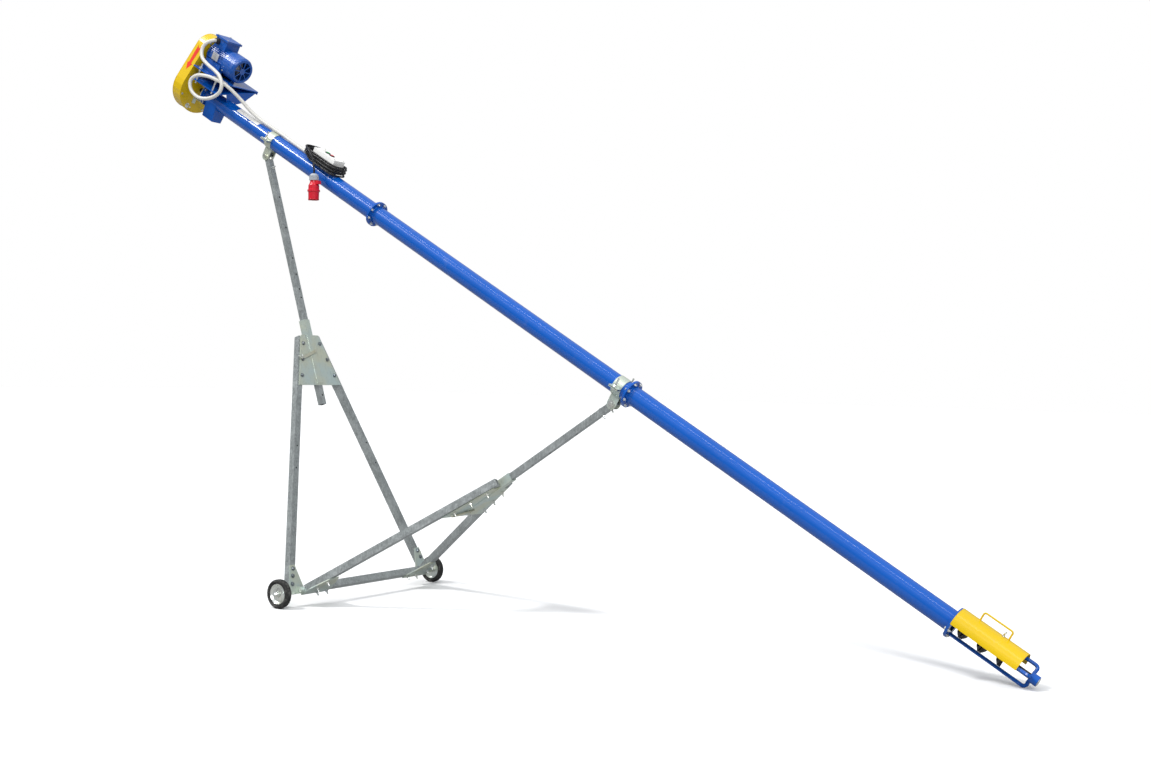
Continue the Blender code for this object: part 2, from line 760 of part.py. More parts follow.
# ---------------------------------------------------------------- intake
def intake_cage():
    """Flange ring, three bent rods and the lower bearing's housing, welded together."""
    low = INTAKE + GAP / 2
    shape = tube_ring(PIPE_BORE, FLANGE_RADIUS, low, low + FLANGE_THICK)
    start = low + FLANGE_THICK - 0.002
    housing = tube_ring(BEARING_OUTER + GAP, HOUSING_RADIUS, HOUSING_END - HOUSING_LENGTH, HOUSING_END, steps=24)
    rods = []
    for angle in CAGE_ANGLES:
        out = Vector((0, cos(radians(angle)), sin(radians(angle))))
        corners = [
            Vector((start, 0, 0)) + out * CAGE_RADIUS,
            Vector((CAGE_END, 0, 0)) + out * CAGE_RADIUS,
            Vector((CAGE_END, 0, 0)) + out * (HOUSING_RADIUS - 0.002),
        ]
        rods.append(rod(rounded(corners, CAGE_BEND, 5), CAGE_ROD, 1))
    return join(shape, *rods, housing)


piece("intake_cage", intake_cage(), BLUE, line)
piece(
    "intake_bearing",
    tube_ring(JOURNAL_RADIUS + GAP, BEARING_OUTER, HOUSING_END - 0.016, HOUSING_END - 0.001, steps=24),
    STEEL,
    line,
)


def intake_cover():
    """Half-round shutter that slides up over the flange, with its bent-rod handle."""
    start = INTAKE + 0.002
    edge = math.degrees(asin(COVER_EDGE / COVER_RADIUS))
    outer = arc((0, 0), COVER_RADIUS, edge, 180 - edge, 25)
    inner = arc((0, 0), COVER_RADIUS - COVER_WALL, 180 - edge, edge, 25)
    shell = sheet([[*outer, *inner]], COVER_LENGTH, "X", start + COVER_LENGTH / 2)
    foot, top = COVER_RADIUS - 0.001, COVER_RADIUS + HANDLE_HEIGHT
    first = start + HANDLE_START
    last = first + HANDLE_LENGTH
    handle = rod(
        rounded([(first, 0, foot), (first, 0, top), (last, 0, top), (last, 0, foot)], 0.010, 4), HANDLE_ROD
    )
    return join(shell, handle)


piece("intake_cover", intake_cover(), YELLOW, cover_slide)


# ---------------------------------------------------------------- screw
def flight():
    """One helical strip round the shaft."""
    start = HEAD_END + SPOUT_FROM_END
    inner = SHAFT_RADIUS / cos(pi / FLIGHT_STEPS) + GAP
    profile = [
        (inner, 0, start),
        (SCREW_RADIUS, 0, start),
        (SCREW_RADIUS, 0, start + FLIGHT_THICK),
        (inner, 0, start + FLIGHT_THICK),
    ]
    mesh = bpy.data.meshes.new("flight")
    mesh.from_pydata(profile, [(0, 1), (1, 2), (2, 3), (3, 0)], [])
    obj = linked("flight", mesh)
    screw = obj.modifiers.new("turn", "SCREW")
    screw.screw_offset = SCREW_PITCH
    screw.iterations = SCREW_TURNS
    screw.steps = FLIGHT_STEPS
    screw.render_steps = FLIGHT_STEPS
    shape = baked(obj, TO_X)
    bm = bmesh.new()
    bm.from_mesh(shape.data)
    bmesh.ops.holes_fill(bm, edges=[e for e in bm.edges if e.is_boundary], sides=4)
    bmesh.ops.recalc_face_normals(bm, faces=bm.faces)
    bm.to_mesh(shape.data)
    bm.free()
    return shape


FLIGHT_STEPS = 10


def screw_shaft():
    """Core shaft with a stepped journal at each end."""
    top, bottom = PULLEY_PLANE - PULLEY_WIDTH / 2 - 0.006, HOUSING_END - 0.002
    core_top, core_bottom = HEAD_END + 0.004, HOUSING_END - HOUSING_LENGTH - 0.002
    core = bar((core_top, 0, 0), (core_bottom, 0, 0), SHAFT_RADIUS, 16)
    upper = bar((top, 0, 0), (core_top + 0.001, 0, 0), JOURNAL_RADIUS, 16)
    lower = bar((core_bottom - 0.001, 0, 0), (bottom, 0, 0), JOURNAL_RADIUS, 16)
    return join(core, upper, lower)


def pulley(radius, bore, hub):
    """V-belt pulley centred on its own groove."""
    half, rim, foot = PULLEY_WIDTH / 2, 0.0080, 0.0058
    return turned(
        [
            (bore, -half),
            (hub, -half),
            (hub, -0.006),
            (radius - 0.022, -0.006),
            (radius - 0.022, -half),
            (radius, -half),
            (radius, -rim),
            (radius - GROOVE_DEPTH, -foot),
            (radius - GROOVE_DEPTH, foot),
            (radius, rim),
            (radius, half),
            (radius - 0.022, half),
            (radius - 0.022, 0.006),
            (hub, 0.006),
            (hub, half),
            (bore, half),
        ]
        if hub < radius - 0.030
        else [
            (bore, -half),
            (radius, -half),
            (radius, -rim),
            (radius - GROOVE_DEPTH, -foot),
            (radius - GROOVE_DEPTH, foot),
            (radius, rim),
            (radius, half),
            (bore, half),
        ],
        Matrix.Translation((PULLEY_PLANE, 0, 0)) @ TO_X,
        32,
    )


piece("screw_flight", flight(), BLACK_STEEL, screw_axis, sharp=60)
piece("screw_shaft", screw_shaft(), BLACK_STEEL, screw_axis)
piece("screw_pulley", pulley(SCREW_PULLEY, JOURNAL_RADIUS + PULLEY_BORE_CLEAR, 0.026), GALVANISED, screw_axis)


# ---------------------------------------------------------------- belt and guard
def loop_outline(low_radius, high_radius, points=17):
    """Outline round the screw pulley's centre and the motor pulley's, as a taut band runs, in (y, z)."""
    tilt = math.degrees(asin((low_radius - high_radius) / MOTOR_RISE))
    return [
        *arc((0, 0), low_radius, 180 - tilt, 360 + tilt, points),
        *arc((0, MOTOR_RISE), high_radius, tilt, 180 - tilt, points),
    ]


def drive_belt():
    outer = BELT_BELOW_RIM
    inner = BELT_BELOW_RIM + BELT_DEPTH
    outlines = [loop_outline(SCREW_PULLEY - depth, MOTOR_PULLEY - depth, 25) for depth in (outer, inner)]
    return sheet(outlines, BELT_WIDTH, "X", PULLEY_PLANE)


def guard_cover():
    """Yellow hood over both pulleys, open towards its back plate."""
    body = sheet(
        [loop_outline(GUARD_BIG, GUARD_SMALL)],
        GUARD_DEPTH - 0.002 - GAP,
        "X",
        (GUARD_FACE + GUARD_BACK - 0.002 - GAP) / 2,
    )
    hollow = sheet(
        [loop_outline(GUARD_BIG - GUARD_WALL, GUARD_SMALL - GUARD_WALL)],
        GUARD_DEPTH,
        "X",
        GUARD_FACE + GUARD_WALL + GUARD_DEPTH / 2,
    )
    return cut(body, hollow)


def guard_back_plate():
    outline = loop_outline(GUARD_BIG, GUARD_SMALL)
    holes = [ring_outline((0, 0), JOURNAL_RADIUS + 0.004), ring_outline((0, MOTOR_RISE), MOTOR_SHAFT + 0.004)]
    return sheet([outline, *holes], 0.002, "X", GUARD_BACK - 0.001)


piece("drive_belt", drive_belt(), RUBBER, line)
piece("guard_cover", guard_cover(), YELLOW, line)
piece("guard_back_plate", guard_back_plate(), YELLOW, line)


# ---------------------------------------------------------------- motor on its platform
STATOR_START = GUARD_BACK + GAP
STATOR_END = STATOR_START + STATOR_LENGTH


def stator():
    """Motor housing on its feet, hollow for the rotor, with bearing holes at both ends."""
    bore = MOTOR_SHAFT + GAP
    spigot = FAN_COVER_RADIUS - 0.003 - GAP
    shell = turned(
        [
            (bore, STATOR_START),
            (0.058, STATOR_START),
            (MOTOR_RADIUS, STATOR_START + 0.018),
            (MOTOR_RADIUS, STATOR_END - 0.010),
            (spigot, STATOR_END - 0.010),
            (spigot, STATOR_END),
            (bore, STATOR_END),
            (bore, STATOR_END - 0.010),
            (ROTOR_RADIUS + 0.0015, STATOR_END - 0.010),
            (ROTOR_RADIUS + 0.0015, STATOR_START + 0.012),
            (bore, STATOR_START + 0.012),
        ]
    )
    low = PLATFORM_TOP + GAP - MOTOR_RISE
    feet = [
        block((STATOR_START + 0.022, side * 0.062 - 0.016, low), (STATOR_END - 0.016, side * 0.062 + 0.016, -0.030))
        for side in (-1, 1)
    ]
    for foot in feet:
        shell = join(shell, foot)
    rotor_room = bar(
        (STATOR_START + 0.012, 0, 0), (STATOR_END - 0.010, 0, 0), ROTOR_RADIUS + 0.0015, 32
    )
    return cut(shell, rotor_room)


def fan_cover():
    """Cup over the cooling fan, with a spoked air grille."""
    outer, wall = FAN_COVER_RADIUS, 0.003
    start = STATOR_END - 0.008
    end = start + FAN_COVER_LENGTH
    shell = turned(
        [
            (outer - wall, start),
            (outer, start),
            (outer, end - 0.015),
            (outer - 0.008, end),
            (0.060, end),
            (0.060, end - 0.003),
            (outer - 0.0095, end - 0.003),
            (outer - wall, end - 0.0165),
        ]
    )
    spokes = []
    for i in range(4):
        spoke = block((end - 0.003, -0.062, -0.0025), (end, 0.062, 0.0025))
        spoke.data.transform(Matrix.Rotation(i * pi / 4, 4, "X"))
        spokes.append(spoke)
    grille = join(spokes[0], *spokes[1:], bar((end - 0.003, 0, 0), (end, 0, 0), 0.020, 24))
    return join(shell, grille)


def terminal_box():
    """Box with its lid on top of the motor, and the conduit's gland on its near side."""
    start = STATOR_START + 0.018
    end = start + 0.112
    base = MOTOR_RADIUS - 0.020
    shape = block((start, -0.052, base), (end, 0.052, 0.118))
    shape = cut(shape, bar((start - 0.05, 0, 0), (end + 0.05, 0, 0), MOTOR_RADIUS + GAP, 32))
    lid = block((start - 0.006, -0.060, 0.116), (end + 0.006, 0.060, 0.128))
    gland_at = (start + 0.030, 0, 0.092)
    gland = bar((gland_at[0], -0.050, gland_at[2]), (gland_at[0], -0.078, gland_at[2]), 0.0145, 12)
    return join(shape, lid, gland)


def rotor_shaft():
    core = bar((STATOR_START + 0.016, 0, 0), (STATOR_END - 0.014, 0, 0), ROTOR_RADIUS, 24)
    shaft = bar((PULLEY_PLANE - PULLEY_WIDTH / 2 - 0.004, 0, 0), (STATOR_END + 0.045, 0, 0), MOTOR_SHAFT, 16)
    return join(core, shaft)


def cooling_fan():
    """Radial fan on the tail of the rotor."""
    start = STATOR_END + 0.012
    hub = tube_ring(MOTOR_SHAFT + GAP, 0.020, start, start + 0.030, steps=16)
    disc = tube_ring(0.018, 0.066, start, start + 0.003, steps=24)
    blades = []
    for i in range(6):
        blade = block((start + 0.001, 0.018, -0.001), (start + 0.024, 0.064, 0.001))
        blade.data.transform(Matrix.Rotation(i * pi / 3, 4, "X"))
        blades.append(blade)
    return join(hub, disc, *blades)


piece("motor_stator", stator(), BLUE, motor_axis)
piece("terminal_box", terminal_box(), BLUE, motor_axis)
piece("fan_cover", fan_cover(), BLUE, motor_axis)
piece("rotor_shaft", rotor_shaft(), STEEL, motor_axis)
piece("cooling_fan", cooling_fan(), BLACK_PLASTIC, motor_axis)
piece("motor_pulley", pulley(MOTOR_PULLEY, MOTOR_SHAFT + PULLEY_BORE_CLEAR, 0.040), GALVANISED, motor_axis)

PLATFORM_START = GUARD_BACK + 0.010
PLATFORM_END = PLATFORM_START + 0.290
SADDLE_FAR = (PLATFORM_FAR - 0.004, PLATFORM_TOP - PLATFORM_THICK - 0.001)
SADDLE_NEAR = (-0.132, 0.077)
TENSION_BOLT_Y = -0.122
TENSION_BOLTS = (PLATFORM_START + 0.055, PLATFORM_START + 0.225)


def motor_platform():
    """Adjustable plate under the motor's feet, its far edge folded down as the hinge side."""
    low = PLATFORM_TOP - PLATFORM_THICK
    plate = block((PLATFORM_START, PLATFORM_NEAR, low), (PLATFORM_END, PLATFORM_FAR, PLATFORM_TOP))
    lip = block((PLATFORM_START, PLATFORM_FAR - 0.001, low - 0.014), (PLATFORM_END, PLATFORM_FAR + 0.004, PLATFORM_TOP))
    shape = join(plate, lip)
    holes = [bar((x, TENSION_BOLT_Y, 0.1), (x, TENSION_BOLT_Y, 0.2), 0.0065, 12) for x in TENSION_BOLTS]
    return cut(shape, *holes)


def motor_saddle():
    """Sloping plate on two cross gussets that stand on the tube."""
    (near_y, near_z), (far_y, far_z) = SADDLE_NEAR, SADDLE_FAR
    slope = (far_z - near_z) / (far_y - near_y)
    thick = 0.005
    outline = [(near_y, near_z), (far_y, far_z), (far_y, far_z - thick), (near_y, near_z - thick)]
    length = PLATFORM_END - PLATFORM_START
    shape = sheet([outline], length, "X", PLATFORM_START + length / 2)
    hug = PIPE_OUTER + 0.0012
    for at in (PLATFORM_START + 0.030, PLATFORM_END - 0.003):
        left, right = -0.060, far_y - 0.006
        under = 0.001 + thick
        gusset = [
            *arc((0, 0), hug, 130, 50, 7),
            (0.090, 0.062),
            (right, far_z - 0.006 * slope - under + 0.003),
            (left, near_z + (left - near_y) * slope - under + 0.003),
        ]
        shape = join(shape, sheet([gusset], 0.005, "X", at))
    holes = [bar((x, TENSION_BOLT_Y, 0.0), (x, TENSION_BOLT_Y, 0.14), 0.0065, 12) for x in TENSION_BOLTS]
    return cut(shape, *holes)


def tension_bolt(at):
    """Threaded rod with nuts that sets the platform's height and so the belt's tension."""
    low = PLATFORM_TOP - PLATFORM_THICK
    stud = bar((at, TENSION_BOLT_Y, 0.056), (at, TENSION_BOLT_Y, PLATFORM_TOP + 0.034), 0.006, 12)
    nuts = [
        bar((at, TENSION_BOLT_Y, PLATFORM_TOP + GAP), (at, TENSION_BOLT_Y, PLATFORM_TOP + 0.010), 0.011, 6),
        bar((at, TENSION_BOLT_Y, low - 0.010), (at, TENSION_BOLT_Y, low - GAP), 0.011, 6),
    ]
    return join(stud, *nuts)


piece("motor_platform", motor_platform(), BLUE, line)
piece("motor_saddle", motor_saddle(), BLUE, line)
for number, at in enumerate(TENSION_BOLTS, 1):
    piece(f"tension_bolt_{number}", tension_bolt(at), ZINC, line)


# ---------------------------------------------------------------- tube clamps
def clamp_strap(at):
    """Upper half band with its two ears."""
    inner, outer = PIPE_OUTER + GAP, PIPE_OUTER + GAP + BAND
    tip, lift = outer + CLAMP_EAR, 0.0015
    root = math.degrees(asin((lift + BAND) / outer))
    outline = [
        (tip, lift),
        (tip, lift + BAND),
        *arc((0, 0), outer, root, 180 - root, 17),
        (-tip, lift + BAND),
        (-tip, lift),
        *arc((0, 0), inner, 180 - math.degrees(asin(lift / inner)), math.degrees(asin(lift / inner)), 17),
    ]
    holes = [bar((at, side * (outer + CLAMP_EAR / 2), -0.02), (at, side * (outer + CLAMP_EAR / 2), 0.02), 0.0055, 12) for side in (-1, 1)]
    return cut(sheet([outline], CLAMP_WIDTH, "X", at), *holes)


def clamp_saddle(at, play):
    """Lower half band with ears and the fork that takes the mast's end; play widens the pivot holes."""
    outer = PIPE_OUTER + GAP + BAND
    strap = clamp_strap(0)
    strap.data.transform(Matrix.Translation((at, 0, 0)) @ Matrix.Rotation(pi, 4, "X"))
    fork_inner = MAST / 2 + 0.001
    ears = []
    for side in (-1, 1):
        half = FORK_WIDTH / 2
        drop = PIVOT_DROP
        ear = sheet(
            [[(at - half, -outer + 0.010), (at - half, -drop), *arc((at, -drop), half, 180, 360, 9), (at + half, -outer + 0.010)]],
            FORK_THICK,
            "Y",
            side * (fork_inner + FORK_THICK / 2),
        )
        ears.append(ear)
    shape = join(strap, *ears)
    inside = bar((at - 0.1, 0, 0), (at + 0.1, 0, 0), PIPE_OUTER + GAP, 32)
    hole = bar((at, -0.05, -PIVOT_DROP), (at, 0.05, -PIVOT_DROP), PIVOT_HOLE + play, 20)
    return cut(shape, inside, hole)


def pivot_pin(play):
    """Bolt through fork and mast, with a washer under head and nut. Its axis is Y through the origin."""
    reach = MAST / 2 + 0.001 + FORK_THICK + GAP
    washer = PIVOT_HOLE + play + 0.004
    shank = bar((0, -reach - 0.010, 0), (0, reach + 0.018, 0), PIVOT_BOLT_RADIUS, 16)
    caps = [
        bar((0, side * reach, 0), (0, side * (reach + 0.0025), 0), washer, 24) for side in (-1, 1)
    ]
    nuts = [
        bar((0, side * (reach + 0.002), 0), (0, side * (reach + 0.0105), 0), 0.011, 6) for side in (-1, 1)
    ]
    return join(shank, *caps, *nuts)


piece("upper_clamp_strap", clamp_strap(UPPER_CLAMP), ZINC, line)
piece("upper_clamp_saddle", clamp_saddle(UPPER_CLAMP, 0), ZINC, line)
piece("lower_clamp_strap", clamp_strap(LOWER_CLAMP), ZINC, line)
piece("lower_clamp_saddle", clamp_saddle(LOWER_CLAMP, FOLD_PLAY), ZINC, line)

upper_pin = pivot_pin(0)
upper_pin.data.transform(Matrix.Translation((0, 0, REAR_REACH)))
piece("upper_pivot_pin", upper_pin, STEEL, rear_mast_frame)
lower_pin = pivot_pin(FOLD_PLAY)
lower_pin.data.transform(Matrix.Translation((0, 0, FRONT_REACH)))
piece("lower_pivot_pin", lower_pin, STEEL, front_mast_frame)


# ---------------------------------------------------------------- switch box and conduit
BUTTONS = (("start_button", 0.075, GREEN_PLASTIC), ("stop_button", 0.115, RED_PLASTIC))


def switch_box():
    """Moulded box on the tube's top, hollow, with the push buttons' holes in its lid."""
    end = BOX_START + BOX_LENGTH
    wall = 0.003
    body = block((BOX_START, -BOX_HALF, BOX_LOW), (end, BOX_HALF, BOX_TOP))
    foot = block((BOX_START + 0.02, -0.026, 0.030), (end - 0.02, 0.026, BOX_LOW + 0.001))
    room = block((BOX_START + wall, -BOX_HALF + wall, BOX_LOW + wall), (end - wall, BOX_HALF - wall, BOX_TOP - wall))
    tube = bar((BOX_START - 0.1, 0, 0), (end + 0.1, 0, 0), PIPE_OUTER + GAP, 32)
    holes = [
        bar((BOX_START + along, 0, BOX_TOP - 0.01), (BOX_START + along, 0, BOX_TOP + 0.01), BUTTON_RADIUS + GAP, 20)
        for _, along, _ in BUTTONS
    ]
    return cut(join(body, foot), room, tube, *holes)


def button(along):
    """Mushroomless push button with a retaining collar inside the lid."""
    at = BOX_START + along
    stem = bar((at, 0, BOX_TOP - 0.020), (at, 0, BOX_TOP + 0.006), BUTTON_RADIUS, 20)
    collar = bar((at, 0, BOX_TOP - 0.006), (at, 0, BOX_TOP - 0.003 - GAP), BUTTON_RADIUS + 0.003, 20)
    return join(stem, collar)


piece("switch_box", switch_box(), WHITE_PLASTIC, line)
for name, along, colour in BUTTONS:
    press = empty(f"{name}_slide", LINE, line)
    piece(name, button(along), colour, press)

CONDUIT_ROUTE = [
    (-1.637, -0.0785, 0.347),
    (-1.637, -0.088, 0.347),
    (-1.656, -0.118, 0.318),
    (-1.662, -0.132, 0.270),
    (-1.620, -0.143, 0.225),
    (-1.540, -0.152, 0.210),
    (-1.450, -0.162, 0.206),
    (-1.377, -0.172, 0.195),
    (-1.327, -0.176, 0.155),
    (-1.330, -0.176, 0.100),
    (-1.395, -0.174, 0.040),
    (-1.490, -0.171, 0.004),
    (-1.578, -0.168, 0.014),
    (-1.620, -0.164, 0.060),
    (-1.590, -0.159, 0.112),
    (-1.505, -0.157, 0.146),
    (-1.425, -0.157, 0.160),
    (-1.350, -0.148, 0.165),
    (-1.290, -0.118, 0.150),
    (-1.221, -0.078, 0.120),
    (-1.150, -0.045, 0.088),
    (-1.060, -0.022, 0.072),
    (-0.980, -0.010, 0.0685),
    (-0.910, -0.004, 0.0680),
    (-0.840, 0.000, 0.0670),
    (-0.760, 0.000, 0.0645),
    (-0.660, 0.000, 0.0645),
    (-0.600, 0.000, 0.0655),
    (-0.560, 0.000, 0.0665),
    (BOX_START - GAP, 0.000, 0.0665),
]


def conduit():
    return rod(smooth(CONDUIT_ROUTE, 0.045), CONDUIT_RADIUS, 1)


piece("conduit", conduit(), GREY_PLASTIC, line)


# ---------------------------------------------------------------- supply cable, coiled round the switch box
def cable_gland():
    """Cable entry on the box's upper end: a collar and a tapered nut that the cable leaves through."""
    _, across, rise = CABLE_EXIT
    start = BOX_START - GAP
    middle, end = start - 0.012, start - GLAND_LENGTH
    collar = bar((start, across, rise), (middle, across, rise), 0.012, 12)
    nut = bar((middle + 0.001, across, rise), (end, across, rise), 0.0115, 12, 0.0085)
    bore = bar((start - 0.004, across, rise), (end - 0.01, across, rise), CABLE_RADIUS + GAP, 12)
    return cut(join(collar, nut), bore)


def hank_section(u, v, out_u, out_v):
    """Corners of the coil's section at a point of its middle line, u along and v across from its centre."""
    lower = min(1, max(0, (u + HANK_HALF_LENGTH - 0.020) / 0.080))
    lower *= lower * (3 - 2 * lower)
    width, height, level = (a + (b - a) * lower for a, b in zip(HANK_UPPER, HANK_SPREAD))
    corners = ((-1, -1), (1, -1), (1, 1), (-1, 1))
    return [
        Vector(
            (
                HANK_CENTRE[0] + u + out_u * x * width / 2,
                HANK_CENTRE[1] + v + out_v * x * width / 2,
                level + z * height / 2,
            )
        )
        for x, z in corners
    ]


def hank_line(points=5, between=4):
    """The coil's middle line, a rounded rectangle in plan, as (u, v, outward u, outward v)."""
    far_u, far_v = HANK_HALF_LENGTH - HANK_CORNER, HANK_HALF_WIDTH - HANK_CORNER
    path = []
    for turn, (x, y) in enumerate(((1, 1), (-1, 1), (-1, -1), (1, -1))):
        for out_u, out_v in arc((0, 0), 1, 90 * turn, 90 * (turn + 1), points):
            path.append((x * far_u + out_u * HANK_CORNER, y * far_v + out_v * HANK_CORNER, out_u, out_v))
        if turn % 2 == 0:
            steps = [x * far_u * (1 - 2 * (i + 1) / (between + 1)) for i in range(between)]
            path += [(u, y * HANK_HALF_WIDTH, 0, y) for u in steps]
    return path


def loft(sections):
    """A closed band through four-cornered sections."""
    bm = bmesh.new()
    rings = [[bm.verts.new(corner) for corner in section] for section in sections]
    for ring, after in zip(rings, rings[1:] + rings[:1]):
        for i in range(4):
            bm.faces.new((ring[i], ring[(i + 1) % 4], after[(i + 1) % 4], after[i]))
    bmesh.ops.recalc_face_normals(bm, faces=bm.faces)
    return from_bmesh(bm)


def supply_cable():
    """The coil as one band, with the lead from the gland and the tail that hangs to the plug."""
    ring = loft([hank_section(*place) for place in hank_line()])
    end = HANK_CENTRE[0] - HANK_HALF_LENGTH
    top = HANK_UPPER[2] + 2 * CABLE_RADIUS
    exit_at = Vector(CABLE_EXIT) + Vector((-GLAND_LENGTH + 0.012, 0, 0))
    lead = [
        exit_at,
        exit_at + Vector((-0.018, 0, 0)),
        exit_at + Vector((-0.036, -0.012, -0.002)),
        Vector((end + 0.006, -0.024, top + 0.001)),
        Vector((end + 0.010, -0.034, top - 0.004)),
    ]
    tail = [
        Vector((end - CABLE_RADIUS, 0.004, top)),
        *[Vector(p) for p in TAIL_ROUTE],
        PLUG_TOP + UPRIGHT * 0.026,
        PLUG_TOP + UPRIGHT * 0.012,
        PLUG_TOP,
    ]
    return join(ring, rod(smooth(lead, 0.016), CABLE_RADIUS, 1), rod(smooth(tail, 0.016), CABLE_RADIUS, 1))


TAIL_ROUTE = [
    (-0.599, -0.034, 0.108),
    (-0.574, -0.072, 0.116),
    (-0.524, -0.094, 0.112),
    (-0.470, -0.104, 0.092),
    (-0.434, -0.106, 0.062),
]
UPRIGHT = LINE.inverted().to_3x3() @ Vector((0, 0, 1))


def hanging(shape):
    """Moves a shape modelled down from the origin to hang from the cable's end."""
    place = LINE.inverted() @ Matrix.Translation(LINE @ PLUG_TOP)
    shape.data.transform(place)
    return shape


def plug_cap():
    """Ribbed clamping nut of the plug, with the cable's opening on top."""
    radius, low = PLUG_CAP_RADIUS, -PLUG_CAP_LENGTH
    return turned(
        [
            (CABLE_RADIUS + GAP, 0.004),
            (0.016, 0.004),
            (radius - 0.003, -0.003),
            (radius, -0.008),
            (radius, low),
            (CABLE_RADIUS + GAP, low),
        ],
        Matrix(),
        20,
    )


def plug_body():
    """Plug shell with its collar, open at the bottom round the contact pins."""
    top, end = -PLUG_CAP_LENGTH - GAP, -PLUG_LENGTH
    shell = turned(
        [
            (0.0, top),
            (0.022, top),
            (0.024, top - 0.014),
            (PLUG_RADIUS, top - 0.030),
            (PLUG_RADIUS, top - 0.052),
            (PLUG_RADIUS + 0.005, top - 0.056),
            (PLUG_RADIUS + 0.005, top - 0.066),
            (PLUG_RADIUS, top - 0.070),
            (PLUG_RADIUS - 0.001, end),
            (PLUG_RADIUS - 0.004, end),
            (PLUG_RADIUS - 0.004, end + 0.040),
            (0.0, end + 0.040),
        ],
        Matrix(),
        24,
    )
    latch = block((0.020, -0.012, top - 0.024), (0.046, 0.012, top - 0.004))
    key = block((-PLUG_RADIUS - 0.006, -0.007, end), (-PLUG_RADIUS + 0.002, 0.007, end + 0.010))
    pins = []
    for i in range(5):
        out = Vector((0.016 * cos(i * 2 * pi / 5), 0.016 * sin(i * 2 * pi / 5), 0))
        pins.append(bar(out + Vector((0, 0, end + 0.041)), out + Vector((0, 0, end + 0.006)), 0.003, 8))
    return join(shell, latch, key, *pins)


piece("cable_gland", cable_gland(), BLACK_PLASTIC, line)
piece("supply_cable", supply_cable(), RUBBER, line)
piece("plug_cap", hanging(plug_cap()), GREY_PLASTIC, line)
piece("plug_body", hanging(plug_body()), RED_PLASTIC, line)
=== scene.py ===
"""Looks of the grain auger: finishes, fittings, conduit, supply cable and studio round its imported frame."""

import json
from math import asin, atan2, cos, degrees, pi, radians, sin, sqrt

import bmesh
import bpy
from bpy.props import FloatProperty, FloatVectorProperty, IntProperty, PointerProperty
from mathutils import Matrix, Quaternion, Vector, noise


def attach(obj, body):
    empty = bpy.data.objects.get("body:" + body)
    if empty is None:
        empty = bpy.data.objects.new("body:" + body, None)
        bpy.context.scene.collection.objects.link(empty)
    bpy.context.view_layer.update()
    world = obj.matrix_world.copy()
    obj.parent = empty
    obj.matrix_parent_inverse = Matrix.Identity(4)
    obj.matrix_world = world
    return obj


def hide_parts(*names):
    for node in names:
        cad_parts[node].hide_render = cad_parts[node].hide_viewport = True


bl_info = {
    "name": "Grain auger looks",
    "version": (1, 0, 0),
    "blender": (4, 5, 0),
    "location": "3D View > Sidebar > Grain auger",
    "description": "Finishes, fittings and studio for the grain auger's packed frame",
    "category": "Object",
}

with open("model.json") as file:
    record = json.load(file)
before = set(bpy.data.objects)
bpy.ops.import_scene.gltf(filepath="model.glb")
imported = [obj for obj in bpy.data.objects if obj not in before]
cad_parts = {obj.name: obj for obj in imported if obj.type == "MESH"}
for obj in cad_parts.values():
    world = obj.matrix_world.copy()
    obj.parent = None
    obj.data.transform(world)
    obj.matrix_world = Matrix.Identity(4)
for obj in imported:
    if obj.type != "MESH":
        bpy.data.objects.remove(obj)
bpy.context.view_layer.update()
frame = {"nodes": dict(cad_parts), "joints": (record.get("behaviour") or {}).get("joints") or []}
NODES = frame["nodes"]
JOINTS = {joint["name"]: joint for joint in frame["joints"]}

# ---------------------------------------------------------------- places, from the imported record
ACROSS = Vector((0, 1, 0))


def place(origin, down=None, up=None):
    """Frame of an A-frame (z up its mast) or of the tube (x down it), with y across the machine."""
    if down is not None:
        x_axis = Vector(down).normalized()
        z_axis = x_axis.cross(ACROSS)
    else:
        z_axis = Vector(up).normalized()
        x_axis = ACROSS.cross(z_axis)
    rows = Matrix((x_axis, ACROSS, z_axis)).transposed()
    return Matrix.Translation(Vector(origin)) @ rows.to_4x4()


AXLE = Vector(JOINTS["wheel_near_spin"]["pos_m"])
LINE = place(JOINTS["screw_spin"]["pos_m"], down=JOINTS["screw_spin"]["axis"])
MOTOR = place(JOINTS["motor_spin"]["pos_m"], down=JOINTS["motor_spin"]["axis"])
REAR = place((AXLE.x, 0, AXLE.z), up=JOINTS["rear_mast_slide"]["axis"])
FRONT = place(JOINTS["front_frame_fold"]["pos_m"], up=JOINTS["front_mast_slide"]["axis"])
HALF_TRACK = -AXLE.y


def local_points(node, move):
    back = move.inverted()
    return [back @ vertex.co for vertex in NODES[node].data.vertices]


def extent(points):
    """Lowest and highest corner of some points."""
    return tuple(Vector([pick(point[i] for point in points) for i in range(3)]) for pick in (min, max))


def local_box(node, move):
    """Lowest and highest corner of a node in a frame's own coordinates."""
    return extent(local_points(node, move))


HEAD_LOW, HEAD_HIGH = local_box("head_tube", LINE)
HEAD_END, UPPER_JOINT = HEAD_LOW.x, HEAD_HIGH.x
MIDDLE_JOINT = local_box("middle_tube", LINE)[1].x
INTAKE = local_box("lower_tube", LINE)[1].x
PIPE_RADIUS = 0.0508
STAND_OFF = 0.0002  # between a fitting and the face it stands on
GUARD_LOW, GUARD_HIGH = local_box("guard_cover", LINE)
BACK_PLATE_FACE = local_box("guard_back_plate", LINE)[1].x
BOX_CORNERS = local_box("switch_box", LINE)
STATOR_LOW, STATOR_HIGH = local_box("motor_stator", MOTOR)
FAN_LOW, FAN_HIGH = local_box("fan_cover", MOTOR)
TERMINAL_LOW, TERMINAL_HIGH = local_box("terminal_box", MOTOR)
COVER_START = local_box("intake_cover", LINE)[0].x
PLATFORM_TOP = local_box("motor_platform", LINE)[1].z
MOTOR_RISE = (LINE.inverted() @ MOTOR.translation).z
